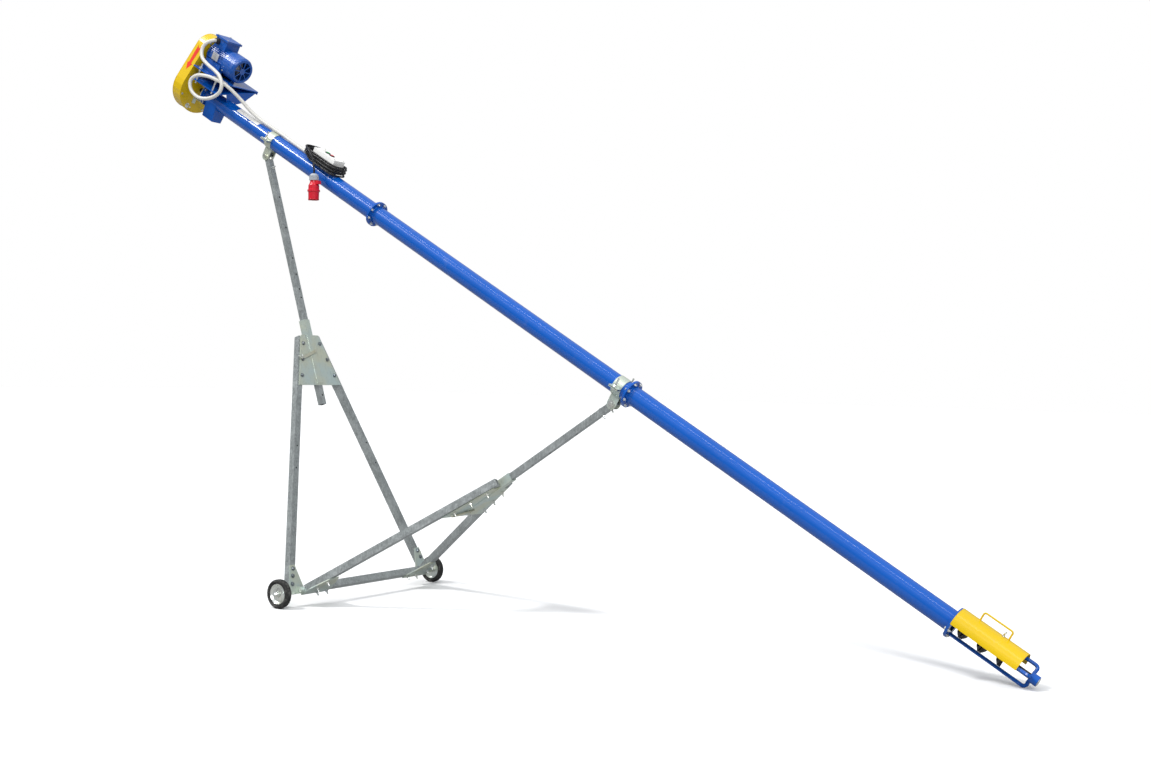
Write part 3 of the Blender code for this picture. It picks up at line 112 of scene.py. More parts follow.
REAR_MAST_TOP = local_box("rear_mast", REAR)[1].z
FRONT_MAST_TOP = local_box("front_mast", FRONT)[1].z
PLATE_LENGTH = 0.315
PLATE_FRONT = 0.0193
SLEEVE_ABOVE_PLATE = 0.100
REAR_PLATE_TOP = local_box("rear_apex_plate", REAR)[1].z - SLEEVE_ABOVE_PLATE
FRONT_PLATE_TOP = local_box("front_apex_plate", FRONT)[1].z - SLEEVE_ABOVE_PLATE


# ---------------------------------------------------------------- settings
def colour_setting(name, text, default):
    return FloatVectorProperty(name=name, description=text, subtype="COLOR", size=3, default=default, min=0, max=1)


def length_setting(name, text, default, low, high):
    return FloatProperty(
        name=name, description=text, default=default, min=low, max=high, unit="LENGTH", subtype="DISTANCE"
    )


class AugerFinishSettings(bpy.types.PropertyGroup):
    blue: colour_setting("Tube paint", "Paint of the tube, motor and saddle", (0.002, 0.088, 0.43))
    yellow: colour_setting("Guard paint", "Paint of the belt guard and the intake cover", (0.70, 0.47, 0.001))
    galvanised: colour_setting("Galvanised steel", "Zinc bloom of legs and masts", (0.36, 0.39, 0.39))
    zinc: colour_setting("Zinc plate", "Plated plates, clamps and rims", (0.50, 0.60, 0.58))
    plug_red: colour_setting("Plug red", "Shell of the five-pin plug", (0.62, 0.012, 0.030))
    conduit: colour_setting("Conduit", "Plastic of the conduit", (0.66, 0.65, 0.61))


class AugerFittingSettings(bpy.types.PropertyGroup):
    flange_bolts: IntProperty(
        name="Flange bolts", description="Bolts round each tube joint", default=8, min=3, max=12
    )
    flange_bolt_circle: length_setting("Bolt circle", "Radius of the flange bolts' circle", 0.0645, 0.055, 0.075)
    bolt_width: length_setting("Bolt head", "Width across the corners of an M8 head", 0.0145, 0.006, 0.03)
    fins: IntProperty(name="Motor fins", description="Cooling fins round the motor", default=44, min=12, max=90)
    fin_height: length_setting("Fin height", "How far a fin stands from the housing", 0.0085, 0.002, 0.02)


class AugerCordSettings(bpy.types.PropertyGroup):
    diameter: length_setting("Cable diameter", "Outer diameter of the supply cable", 0.011, 0.005, 0.02)
    corrugation: length_setting("Corrugation", "Pitch of the conduit's ribs", 0.0050, 0.002, 0.01)
    rib_depth: length_setting("Rib depth", "Depth of the conduit's ribs", 0.0007, 0.0, 0.002)


class AugerStageSettings(bpy.types.PropertyGroup):
    lens: FloatProperty(
        name="Lens", description="Focal length on a 36 mm sensor, in millimetres", default=43.288, min=20, max=120
    )
    overhead: FloatProperty(
        name="Overhead light", description="Strength of the broad overhead light", default=1.9, min=0
    )
    front: FloatProperty(name="Front light", description="Strength of the softer front light", default=1.35, min=0)
    strip: FloatProperty(
        name="Strip lights", description="Power of the long lights along the tube", default=60.0, min=0, unit="POWER"
    )
    ambient: FloatProperty(name="Ambient", description="Strength of the light from all round", default=0.48, min=0)
    floor: colour_setting("Floor", "Colour of the studio floor", (0.93, 0.93, 0.93))


# ---------------------------------------------------------------- node trees
def feed(tree, socket, value):
    """Gives a socket its value, a link, or a list of links."""
    if isinstance(value, list):
        for link in value:
            tree.links.new(link, socket)
    elif isinstance(value, bpy.types.NodeSocket):
        tree.links.new(value, socket)
    elif socket.type == "RGBA":
        socket.default_value = (*value[:3], 1)
    else:
        socket.default_value = value


def add_node(tree, kind, settings, sockets, output=0):
    """Adds a node with its settings and sockets to any tree, and gives one of its outputs."""
    made = tree.nodes.new(kind)
    for key, value in settings.items():
        setattr(made, key, value)
    for key, value in sockets.items():
        feed(tree, made.inputs[key], value)
    return made.outputs[output]


# ---------------------------------------------------------------- shader expressions
class Signal:
    """A shader output that takes part in arithmetic; each operator adds one Math node."""

    def __init__(self, finish, socket):
        self.finish = finish
        self.socket = socket

    def math(self, operation, *operands):
        return self.finish.node("ShaderNodeMath", {"operation": operation}, dict(enumerate(operands)))

    def __add__(self, other):
        return self.math("ADD", self, other)

    def __sub__(self, other):
        return self.math("SUBTRACT", self, other)

    def __mul__(self, other):
        return self.math("MULTIPLY", self, other)

    def above(self, edge, width):
        """0 below the edge, 1 above it, with a soft step of the given width."""
        settings = {"interpolation_type": "SMOOTHSTEP"}
        sockets = {"Value": self, "From Min": edge - width / 2, "From Max": edge + width / 2}
        return self.finish.node("ShaderNodeMapRange", settings, sockets)


class Finish:
    """One Principled material, built from named signals."""

    def __init__(self, name, colour, roughness, metallic=0.0, specular=0.5):
        self.material = bpy.data.materials.new(name)
        self.material.use_nodes = True
        self.material.diffuse_color = (*colour, 1)
        self.tree = self.material.node_tree
        self.coordinates = None
        self.give("Base Color", colour)
        self.give("Roughness", roughness)
        self.give("Metallic", metallic)
        self.give("Specular IOR Level", specular)

    def give(self, socket, value):
        shader = self.tree.nodes["Principled BSDF"]
        feed(self.tree, shader.inputs[socket], getattr(value, "socket", value))

    def node(self, kind, settings, sockets, output=0):
        plain = {key: getattr(value, "socket", value) for key, value in sockets.items()}
        return Signal(self, add_node(self.tree, kind, settings, plain, output))

    def place(self, stretch):
        if self.coordinates is None:
            self.coordinates = self.node("ShaderNodeTexCoord", {}, {}, "Object")
        if stretch == (1, 1, 1):
            return self.coordinates
        return self.node("ShaderNodeMapping", {}, {"Vector": self.coordinates, "Scale": stretch})

    def noise(self, scale, detail=2.0, stretch=(1, 1, 1), rough=0.5):
        sockets = {"Vector": self.place(stretch), "Scale": scale, "Detail": detail, "Roughness": rough}
        return self.node("ShaderNodeTexNoise", {}, sockets)

    def cells(self, scale, output="Distance"):
        return self.node("ShaderNodeTexVoronoi", {}, {"Vector": self.place((1, 1, 1)), "Scale": scale}, output)

    def grey(self, colour):
        return self.node("ShaderNodeRGBToBW", {}, {0: colour})

    def mix(self, factor, first, second):
        return self.node("ShaderNodeMix", {"data_type": "RGBA"}, {0: factor, 6: first, 7: second}, 2)

    def colour(self, value):
        self.give("Base Color", value)

    def roughness(self, value):
        self.give("Roughness", value)

    def bump(self, height, depth, strength):
        sockets = {"Height": height, "Distance": depth, "Strength": strength}
        self.give("Normal", self.node("ShaderNodeBump", {}, sockets))


def shade(colour, amount):
    return tuple(min(1.0, channel * amount) for channel in colour)


def painted(name, colour, gloss=0.16, dust=0.06):
    """Gloss enamel: faint runs and dust, fine orange peel, a few rubbed specks."""
    finish = Finish(name, colour, gloss, specular=0.5)
    tone = finish.noise(2.2, 3)
    patch = finish.mix(tone.above(0.5, 0.6), shade(colour, 0.92), shade(colour, 1.05))
    grime = finish.noise(16, 5, rough=0.62).above(0.66, 0.16)
    dusty = finish.mix(grime * dust, patch, (0.30, 0.30, 0.28))
    specks = finish.noise(240, 2).above(0.79, 0.03) * finish.noise(9, 2).above(0.58, 0.1)
    finish.colour(finish.mix(specks * 0.5, dusty, (0.24, 0.25, 0.26)))
    finish.roughness(finish.noise(7, 2) * 0.05 + grime * 0.05 + (gloss - 0.02))
    finish.bump(finish.noise(3, 1) - specks * 0.1, 0.00005, 0.1)
    return finish.material


def galvanised(name, colour):
    """Hot-dip zinc: crystal patches of two tones, dull bloom and mill streaks along the tube."""
    finish = Finish(name, colour, 0.42, metallic=0.55)
    crystal = finish.grey(finish.cells(120, output="Color"))
    streak = finish.noise(150, 3, (1, 1, 0.06))
    bloom = finish.noise(11, 5, rough=0.65)
    base = finish.mix(crystal, shade(colour, 0.74), shade(colour, 1.18))
    worn = finish.mix(streak.above(0.52, 0.22) * 0.55, base, shade(colour, 0.55))
    finish.colour(finish.mix(bloom.above(0.56, 0.2) * 0.35, worn, (0.56, 0.60, 0.60)))
    finish.roughness(crystal * 0.16 + bloom * 0.20 + 0.24)
    finish.bump(crystal * 0.5 + streak * 0.6, 0.0003, 0.35)
    return finish.material


def plated(name, colour, tint, metallic=0.5, roughness=0.32):
    """Electroplated zinc with a faint passivation tint and handling marks."""
    finish = Finish(name, colour, roughness, metallic=metallic)
    cloud = finish.noise(9, 4)
    marks = finish.noise(70, 5, (1, 1, 0.2), rough=0.6)
    base = finish.mix(cloud.above(0.5, 0.4), colour, tint)
    finish.colour(finish.mix(marks.above(0.62, 0.1) * 0.35, base, shade(colour, 0.62)))
    finish.roughness(marks * 0.28 + cloud * 0.12 + (roughness - 0.12))
    finish.bump(cloud + marks * 0.5, 0.0002, 0.25)
    return finish.material


def moulded(name, colour, gloss, grain=0.35, scuff=0.25):
    """Injection-moulded plastic with a fine spark texture and light scuffs."""
    finish = Finish(name, colour, gloss, specular=0.45)
    scuffs = finish.noise(55, 5, (1, 0.3, 1), rough=0.66).above(0.64, 0.1)
    tone = finish.noise(7, 3)
    base = finish.mix(tone.above(0.5, 0.5), shade(colour, 0.93), shade(colour, 1.04))
    finish.colour(finish.mix(scuffs * scuff, base, shade(colour, 0.72)))
    finish.roughness(scuffs * 0.2 + tone * 0.08 + (gloss - 0.04))
    finish.bump(finish.noise(320, 2), 0.00008, grain)
    return finish.material


def rubber(name, colour, roughness, dust):
    """Vulcanised rubber: matt, with patches of dust."""
    finish = Finish(name, colour, roughness, specular=0.35)
    dirt = finish.noise(28, 5, rough=0.65)
    finish.colour(finish.mix(dirt.above(0.56, 0.2) * dust, colour, (0.17, 0.165, 0.155)))
    finish.roughness(dirt * 0.22 + (roughness - 0.10))
    finish.bump(finish.noise(260, 3) + dirt * 0.4, 0.0002, 0.25)
    return finish.material


def cast_paint(name, colour):
    """Paint over sand-cast aluminium: rounder gloss with a pebbled skin."""
    finish = Finish(name, colour, 0.28, specular=0.5)
    pebble = finish.cells(420)
    grime = finish.noise(26, 5, rough=0.6).above(0.58, 0.2)
    finish.colour(finish.mix(grime * 0.16, colour, (0.22, 0.24, 0.27)))
    finish.roughness(grime * 0.2 + finish.noise(80, 3) * 0.15 + 0.2)
    finish.bump(pebble + finish.noise(160, 2) * 0.8, 0.0006, 0.45)
    return finish.material


def machined(name, colour, roughness):
    """Turned or threaded steel: fine rings and a thin oil film."""
    finish = Finish(name, colour, roughness, metallic=0.95)
    rings = finish.noise(380, 2, (1, 1, 6))
    film = finish.noise(24, 4)
    finish.colour(finish.mix(film.above(0.52, 0.3) * 0.4, colour, shade(colour, 0.6)))
    finish.roughness(rings * 0.15 + film * 0.18 + (roughness - 0.14))
    finish.bump(rings, 0.0003, 0.3)
    return finish.material


def screw_paint(name):
    """Black stove paint on the flight, rubbed bright by grain in patches."""
    finish = Finish(name, (0.012, 0.012, 0.013), 0.36, metallic=0.2)
    rub = finish.noise(45, 5, rough=0.7).above(0.60, 0.14)
    finish.colour(finish.mix(rub * 0.5, (0.012, 0.012, 0.013), (0.10, 0.095, 0.09)))
    finish.roughness(rub * 0.2 + finish.noise(90, 3) * 0.15 + 0.24)
    finish.bump(finish.noise(300, 3), 0.0004, 0.4)
    return finish.material


FINISHES = {}


def make_finishes(settings):
    blue, yellow = tuple(settings.blue), tuple(settings.yellow)
    FINISHES.update(
        blue=painted("blue_enamel", blue),
        motor=cast_paint("blue_cast_housing", shade(blue, 0.86)),
        yellow=painted("yellow_enamel", yellow, 0.26, 0.08),
        galvanised=galvanised("galvanised_tube", tuple(settings.galvanised)),
        zinc=plated("zinc_plated_plate", tuple(settings.zinc), (0.57, 0.60, 0.48)),
        bright=plated("bright_zinc_fastener", (0.72, 0.76, 0.78), (0.76, 0.76, 0.68), 0.9, 0.20),
        passivated=plated("yellow_passivated_zinc", (0.60, 0.58, 0.42), (0.50, 0.52, 0.44), 0.5, 0.3),
        dull=plated("dull_zinc_fastener", (0.23, 0.26, 0.29), (0.27, 0.29, 0.30), 0.85, 0.24),
        ring=plated("pressed_rim", (0.60, 0.66, 0.66), (0.62, 0.64, 0.58), 0.8, 0.26),
        steel=machined("turned_steel", (0.52, 0.52, 0.51), 0.34),
        screw=screw_paint("black_screw_paint"),
        tyre=rubber("tyre_rubber", (0.018, 0.018, 0.018), 0.78, 0.45),
        cable=rubber("cable_rubber", (0.009, 0.0095, 0.011), 0.36, 0.06),
        belt=rubber("belt_rubber", (0.014, 0.014, 0.014), 0.7, 0.2),
        conduit=moulded("conduit_plastic", tuple(settings.conduit), 0.38, 0.2, 0.18),
        box=moulded("switch_box_plastic", (0.90, 0.90, 0.88), 0.36, 0.3, 0.08),
        cap=moulded("plug_cap_plastic", (0.40, 0.43, 0.47), 0.42, 0.3, 0.2),
        red=moulded("plug_red_plastic", tuple(settings.plug_red), 0.30, 0.2, 0.12),
        green=moulded("button_green_plastic", (0.02, 0.33, 0.09), 0.3, 0.2, 0.1),
        black=moulded("black_plastic", (0.018, 0.018, 0.019), 0.45, 0.4, 0.3),
        plate=plated("blank_rating_plate", (0.72, 0.73, 0.73), (0.66, 0.67, 0.67), 0.75, 0.4),
        sticker=moulded("blank_sticker", (0.74, 0.73, 0.70), 0.42, 0.1, 0.1),
        arrow=moulded("red_arrow_paint", (0.72, 0.03, 0.01), 0.34, 0.1, 0.15),
        # Painted shade: a near-black finish that stands in for the shade inside drilled holes and in the legs' hollow
        # open ends.
        dark=moulded("dark_opening", (0.010, 0.010, 0.011), 0.6, 0.2, 0.1),
    )


NODE_FINISHES = {
    "blue": ("head_tube", "middle_tube", "lower_tube", "intake_cage", "motor_saddle", "motor_platform"),
    "motor": ("motor_stator", "terminal_box", "fan_cover"),
    "yellow": ("guard_cover", "guard_back_plate", "intake_cover"),
    "galvanised": (
        "rear_leg_near", "rear_leg_far", "front_leg_near", "front_leg_far", "cross_beam", "rear_mast", "front_mast",
        "screw_pulley", "motor_pulley",
    ),
    "zinc": (
        "rear_apex_plate", "front_apex_plate", "foot_bracket_near", "foot_bracket_far", "corner_gusset_near",
        "corner_gusset_far", "head_bearing", "upper_clamp_strap",
        "upper_clamp_saddle", "lower_clamp_strap", "lower_clamp_saddle",
    ),
    "ring": ("wheel_disc_near", "wheel_disc_far"),
    "passivated": ("rear_lock_pin", "front_lock_pin"),
    "bright": (
        "fold_bolt_near", "fold_bolt_far", "tension_bolt_1", "tension_bolt_2", "upper_pivot_pin", "lower_pivot_pin"
    ),
    "steel": ("intake_bearing", "rotor_shaft"),
    "screw": ("screw_flight", "screw_shaft"),
    "tyre": ("tyre_near", "tyre_far"),
    "belt": ("drive_belt",),
    "cable": ("supply_cable",),
    "conduit": ("conduit",),
    "box": ("switch_box",),
    "cap": ("plug_cap", "cooling_fan"),
    "red": ("plug_body", "stop_button"),
    "green": ("start_button",),
    "black": ("cable_gland",),
}


# ---------------------------------------------------------------- mesh helpers
def linked(name, data):
    obj = bpy.data.objects.new(name, data)
    bpy.context.scene.collection.objects.link(obj)
    return obj


def keep(name, data, finish, body, sharp=35):
    """Links a finished mesh, whose place is in its vertices, and hangs it on its body."""
    data.name = name
    obj = linked(name, data)
    data.materials.clear()
    data.materials.append(FINISHES[finish])
    data.shade_smooth()
    data.set_sharp_from_angle(angle=radians(sharp))
    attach(obj, body)
    return obj


def closed(bm):
    """Merges doubles and turns every face outwards, then gives the mesh."""
    bmesh.ops.remove_doubles(bm, verts=bm.verts, dist=1e-6)
    bmesh.ops.recalc_face_normals(bm, faces=bm.faces)
    data = bpy.data.meshes.new("piece")
    bm.to_mesh(data)
    bm.free()
    return data


def turns(count):
    """Angles of this many even steps round a circle."""
    return [2 * pi * i / count for i in range(count)]


def circle(radius, height, count):
    return [Vector((radius * cos(a), radius * sin(a), height)) for a in turns(count)]


def add_box(bm, low, high, move, bevel):
    """A block between two corners with its edges rounded."""
    centre = (Vector(low) + Vector(high)) / 2
    size = Vector(high) - Vector(low)
    shape = Matrix.Translation(centre) @ Matrix.Diagonal((*size, 1))
    made = bmesh.ops.create_cube(bm, size=1, matrix=shape)["verts"]
    edges = {edge for vertex in made for edge in vertex.link_edges}
    rounded = bmesh.ops.bevel(bm, geom=list(edges), offset=bevel, segments=2, affect="EDGES", profile=0.5)
    made = {vertex for face in rounded["faces"] for vertex in face.verts} | {v for v in made if v.is_valid}
    bmesh.ops.transform(bm, matrix=move, verts=list(made))


def add_turned(bm, profile, move, steps=24):
    """Turns (radius, height) points about the z axis of a frame."""
    rings = []
    for radius, height in profile:
        if radius == 0:
            rings.append([bm.verts.new(move @ Vector((0, 0, height)))] * steps)
        else:
            rings.append([bm.verts.new(move @ point) for point in circle(radius, height, steps)])
    for low, high in zip(rings, rings[1:]):
        for i in range(steps):
            corners = [low[i], low[(i + 1) % steps], high[(i + 1) % steps], high[i]]
            unique = list(dict.fromkeys(corners))
            if len(unique) > 2:
                bm.faces.new(unique)


def add_tube(bm, route, radius, sides=10, closed_loop=False):
    """A round rod along points; radius is one value, or one for each point."""
    points = [Vector(point) for point in route]
    radii = radius if hasattr(radius, "__len__") else [radius] * len(points)
    rings = []
    normal = None
    for i, point in enumerate(points):
        if closed_loop:
            heading = (points[(i + 1) % len(points)] - points[i - 1]).normalized()
        else:
            heading = (points[min(i + 1, len(points) - 1)] - points[max(i - 1, 0)]).normalized()
        if normal is None:
            normal = heading.orthogonal().normalized()
        normal = (normal - heading * normal.dot(heading)).normalized()
        other = heading.cross(normal)
        spokes = [normal * cos(a) + other * sin(a) for a in turns(sides)]
        rings.append([bm.verts.new(point + spoke * radii[i]) for spoke in spokes])
    pairs = list(zip(rings, rings[1:])) + ([(rings[-1], rings[0])] if closed_loop else [])
    for low, high in pairs:
        for k in range(sides):
            bm.faces.new((low[k], low[(k + 1) % sides], high[(k + 1) % sides], high[k]))
    if not closed_loop:
        bm.faces.new(rings[0])
        bm.faces.new(rings[-1])


def smooth_route(route, spacing):
    """Points at about this spacing on a Catmull-Rom curve through the route."""
    path = []
    ends = [2 * route[0] - route[1], *route, 2 * route[-1] - route[-2]]
    for before, here, there, after in zip(ends, ends[1:], ends[2:], ends[3:]):
        steps = max(1, round((there - here).length / spacing))
        for i in range(steps):
            t = i / steps
            path.append(
                0.5 * (2 * here + (there - before) * t + (2 * before - 5 * here + 4 * there - after) * t * t
                       + (3 * here - before - 3 * there + after) * t ** 3)
            )
    return [*path, route[-1]]


# ---------------------------------------------------------------- geometry node trees
def new_tree(name, inputs):
    """An empty modifier tree with a mesh input, a mesh output and these named inputs."""
    tree = bpy.data.node_groups.new(name, "GeometryNodeTree")
    tree.interface.new_socket("Mesh", in_out="INPUT", socket_type="NodeSocketGeometry")
    tree.interface.new_socket("Mesh", in_out="OUTPUT", socket_type="NodeSocketGeometry")
    for label, kind, default in inputs:
        made = tree.interface.new_socket(label, in_out="INPUT", socket_type=f"NodeSocket{kind}")
        if default is not None:
            made.default_value = default
    return tree


class Growth:
    """Adds nodes to a geometry tree, from its group input to its group output."""

    def __init__(self, tree):
        self.tree = tree
        self.start = tree.nodes.new("NodeGroupInput")
        self.end = tree.nodes.new("NodeGroupOutput")

    def given(self, name):
        return self.start.outputs[name]

    def node(self, kind, settings, sockets):
        return add_node(self.tree, kind, settings, sockets)

    def math(self, operation, first, second=0.0):
        return self.node("ShaderNodeMath", {"operation": operation}, {0: first, 1: second})

    def lifted(self, mesh, height):
        offset = self.node("ShaderNodeCombineXYZ", {}, {"Z": height})
        return self.node("GeometryNodeTransform", {}, {"Geometry": mesh, "Translation": offset})

    def finish(self, mesh):
        real = self.node("GeometryNodeRealizeInstances", {}, {"Geometry": mesh})
        done = self.node("GeometryNodeSetMaterial", {}, {"Geometry": real, "Material": self.given("Finish")})
        self.tree.links.new(done, self.end.inputs["Mesh"])


def scattered(growth, instance):
    """Instances at the input's vertices, each turned by the turn attribute."""
    turn = growth.node("GeometryNodeInputNamedAttribute", {"data_type": "QUATERNION"}, {"Name": "turn"})
    points = growth.node("GeometryNodeMeshToPoints", {}, {"Mesh": growth.given("Mesh")})
    return growth.node(
        "GeometryNodeInstanceOnPoints", {}, {"Points": points, "Instance": instance, "Rotation": turn}
    )


def cylinder(grow, sides, radius, depth):
    return grow.node(
        "GeometryNodeMeshCylinder", {"fill_type": "NGON"}, {"Vertices": sides, "Radius": radius, "Depth": depth}
    )


def bolt_tree():
    """Hex head with a chamfered crown on a washer, and a stud that may stand out of it."""
    tree = new_tree("hex_fastener", [
        ("Head Radius", "Float", 0.007), ("Head Height", "Float", 0.005), ("Washer Radius", "Float", 0.009),
        ("Washer Thickness", "Float", 0.0014), ("Stud Radius", "Float", 0.004), ("Stud Length", "Float", 0.004),
        ("Finish", "Material", None),
    ])
    grow = Growth(tree)
    radius, height = grow.given("Head Radius"), grow.given("Head Height")
    thick = grow.given("Washer Thickness")
    washer = cylinder(grow, 20, grow.given("Washer Radius"), thick)
    washer = grow.lifted(washer, grow.math("MULTIPLY", thick, 0.5))
    body_height = grow.math("MULTIPLY", height, 0.8)
    body = cylinder(grow, 6, radius, body_height)
    body = grow.lifted(body, grow.math("ADD", thick, grow.math("MULTIPLY", body_height, 0.5)))
    crown_height = grow.math("MULTIPLY", height, 0.2)
    crown = grow.node(
        "GeometryNodeMeshCone", {"fill_type": "NGON"},
        {
            "Vertices": 6, "Radius Bottom": radius, "Radius Top": grow.math("MULTIPLY", radius, 0.84),
            "Depth": crown_height,
        },
    )
    crown = grow.lifted(crown, grow.math("ADD", thick, body_height))
    stud_length = grow.math("ADD", grow.given("Stud Length"), height)
    stud = cylinder(grow, 14, grow.given("Stud Radius"), stud_length)
    stud = grow.lifted(stud, grow.math("ADD", thick, grow.math("MULTIPLY", stud_length, 0.5)))
    whole = grow.node("GeometryNodeJoinGeometry", {}, {"Geometry": [washer, body, crown, stud]})
    grow.finish(scattered(grow, whole))
    return tree


def fin_tree():
    """A thin flat blade at each point, z outwards and x along the motor."""
    tree = new_tree("cooling_fins", [
        ("Length", "Float", 0.1), ("Thickness", "Float", 0.002), ("Height", "Float", 0.008),
        ("Finish", "Material", None),
    ])
    grow = Growth(tree)
    size = grow.node(
        "ShaderNodeCombineXYZ", {},
        {"X": grow.given("Thickness"), "Y": grow.given("Length"), "Z": grow.given("Height")},
    )
    blade = grow.node("GeometryNodeMeshCube", {}, {"Size": size, "Vertices X": 2, "Vertices Y": 2, "Vertices Z": 2})
    blade = grow.lifted(blade, grow.math("MULTIPLY", grow.given("Height"), 0.5))
    grow.finish(scattered(grow, blade))
    return tree


def ribbed_hose_tree():
    """Sweeps a circle along the input's edges, its radius swelling and shrinking at a fixed pitch."""
    tree = new_tree("ribbed_hose", [
        ("Radius", "Float", 0.0115), ("Rib Pitch", "Float", 0.005), ("Rib Depth", "Float", 0.0007),
        ("Sides", "Int", 16), ("Finish", "Material", None),
    ])
    grow = Growth(tree)
    curve = grow.node("GeometryNodeMeshToCurve", {}, {"Mesh": grow.given("Mesh")})
    step = grow.math("MULTIPLY", grow.given("Rib Pitch"), 0.25)
    fine = grow.node("GeometryNodeResampleCurve", {"mode": "LENGTH"}, {"Curve": curve, "Length": step})
    index = grow.node("GeometryNodeInputIndex", {}, {})
    wave = grow.math("COSINE", grow.math("MULTIPLY", index, pi / 2))
    depth = grow.math("MULTIPLY", grow.math("SUBTRACT", wave, 1.0), grow.math("MULTIPLY", grow.given("Rib Depth"), 0.5))
    radius = grow.math("ADD", grow.given("Radius"), depth)
    shaped = grow.node("GeometryNodeSetCurveRadius", {}, {"Curve": fine, "Radius": radius})
    profile = grow.node(
        "GeometryNodeCurvePrimitiveCircle", {"mode": "RADIUS"}, {"Resolution": grow.given("Sides"), "Radius": 1.0}
    )
    sockets = {"Curve": shaped, "Profile Curve": profile, "Scale": radius, "Fill Caps": True}
    grow.finish(grow.node("GeometryNodeCurveToMesh", {}, sockets))
    return tree


def grown(name, seed, tree, values, finish, body, sharp=35):
    """Runs a tree on a seed mesh and keeps its result as a plain mesh on one body."""
    holder = linked(name, seed)
    modifier = holder.modifiers.new("growth", "NODES")
    modifier.node_group = tree
    given = {item.name: item.identifier for item in tree.interface.items_tree if item.in_out == "INPUT"}
    for label, value in values.items():
        modifier[given[label]] = value
    modifier[given["Finish"]] = FINISHES[finish]
    bpy.context.view_layer.update()
    graph = bpy.context.evaluated_depsgraph_get()
    data = bpy.data.meshes.new_from_object(holder.evaluated_get(graph))
    bpy.data.objects.remove(holder, do_unlink=True)
    bpy.data.meshes.remove(seed)
    return keep(name, data, finish, body, sharp=sharp)


def seed_points(spots):
    """Loose vertices with the turn attribute, from (point, direction) or (point, direction, level direction)."""
    data = bpy.data.meshes.new("spots")
    data.from_pydata([spot[0] for spot in spots], [], [])
    turn = data.attributes.new("turn", "QUATERNION", "POINT")
    for i, (_, outward, *level) in enumerate(spots):
        aim = Vector((0, 0, 1)).rotation_difference(outward.normalized())
        twist = 0.37 * i
        if level:
            x_axis, y_axis = aim @ Vector((1, 0, 0)), aim @ Vector((0, 1, 0))
            twist = atan2(level[0].dot(y_axis), level[0].dot(x_axis))
        turn.data[i].value = aim @ Quaternion((0, 0, 1), twist)
    return data


TREES = {}


def make_trees():
    TREES.update(bolt=bolt_tree(), fin=fin_tree(), hose=ribbed_hose_tree())


WASHER_THICKNESS = 0.0014


def bolts(name, spots, body, width=0.0145, height=0.0052, washer=None, stud=0.0, stud_radius=None, finish="bright"):
    """Hex fasteners standing on (point, direction) spots."""
    values = {
        "Head Radius": width / 2, "Head Height": height, "Washer Radius": washer or width * 0.62,
        "Washer Thickness": WASHER_THICKNESS, "Stud Radius": stud_radius or width * 0.27, "Stud Length": stud,
    }
    return grown(name, seed_points(spots), TREES["bolt"], values, finish, body)


def on(move, point, direction):
    """A spot given in a frame's coordinates, as (point, direction) in the shared frame."""
    return move @ Vector(point), move.to_3x3() @ Vector(direction)


def about_x(radius, bearing, along):
    """A point round the x axis, its bearing in degrees from y towards z."""
    angle = radians(bearing)
    return Vector((along, radius * cos(angle), radius * sin(angle)))


# ---------------------------------------------------------------- operators
class AUGER_OT_finish_frame(bpy.types.Operator):
    """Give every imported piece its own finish"""

    bl_idname = "auger.finish_frame"
    bl_label = "Finish the frame"

    def execute(self, context):
        make_finishes(context.scene.auger_finish)
        make_trees()
        done = set()
        for finish, names in NODE_FINISHES.items():
            for name in names:
                data = NODES[name].data
                data.materials.clear()
                data.materials.append(FINISHES[finish])
                done.add(name)
        left = sorted(set(NODES) - done)
        if left:
            raise RuntimeError(f"nodes without a finish: {left}")
        return {"FINISHED"}


CONDUIT_ROUTE = [
    (-1.637, -0.0785, 0.347), (-1.637, -0.088, 0.347), (-1.656, -0.118, 0.318), (-1.662, -0.132, 0.270),
    (-1.620, -0.143, 0.225), (-1.540, -0.152, 0.210), (-1.450, -0.162, 0.206), (-1.377, -0.172, 0.195),
    (-1.327, -0.176, 0.155), (-1.330, -0.176, 0.100), (-1.395, -0.174, 0.040), (-1.490, -0.171, 0.004),
    (-1.578, -0.168, 0.014), (-1.620, -0.164, 0.060), (-1.590, -0.159, 0.112), (-1.505, -0.157, 0.146),
    (-1.425, -0.157, 0.160), (-1.350, -0.148, 0.165), (-1.290, -0.118, 0.150), (-1.221, -0.078, 0.120),
    (-1.150, -0.045, 0.088), (-1.060, -0.022, 0.072), (-0.980, -0.010, 0.0685), (-0.910, -0.004, 0.0680),
    (-0.840, 0.000, 0.0670), (-0.760, 0.000, 0.0645), (-0.660, 0.000, 0.0645), (-0.600, 0.000, 0.0655),
    (-0.560, 0.000, 0.0665), (-0.5353, 0.000, 0.0665),
]
CONDUIT_RADIUS = 0.0115


class AUGER_OT_conduit(bpy.types.Operator):
    """Ribbed conduit from the motor's terminal box to the switch box"""

    bl_idname = "auger.conduit"
    bl_label = "Conduit"

    def execute(self, context):
        cord = context.scene.auger_cord
        path = [LINE @ point for point in smooth_route([Vector(p) for p in CONDUIT_ROUTE], CONDUIT_STEP)]
        seed = bpy.data.meshes.new("conduit_path")
        seed.from_pydata(path, [(i, i + 1) for i in range(len(path) - 1)], [])
        values = {
            "Radius": CONDUIT_RADIUS, "Rib Pitch": cord.corrugation, "Rib Depth": cord.rib_depth, "Sides": 16,
        }
        hose = grown("ribbed_conduit", seed, TREES["hose"], values, "conduit", "auger", sharp=80)
        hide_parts("conduit")
        return {"FINISHED"}


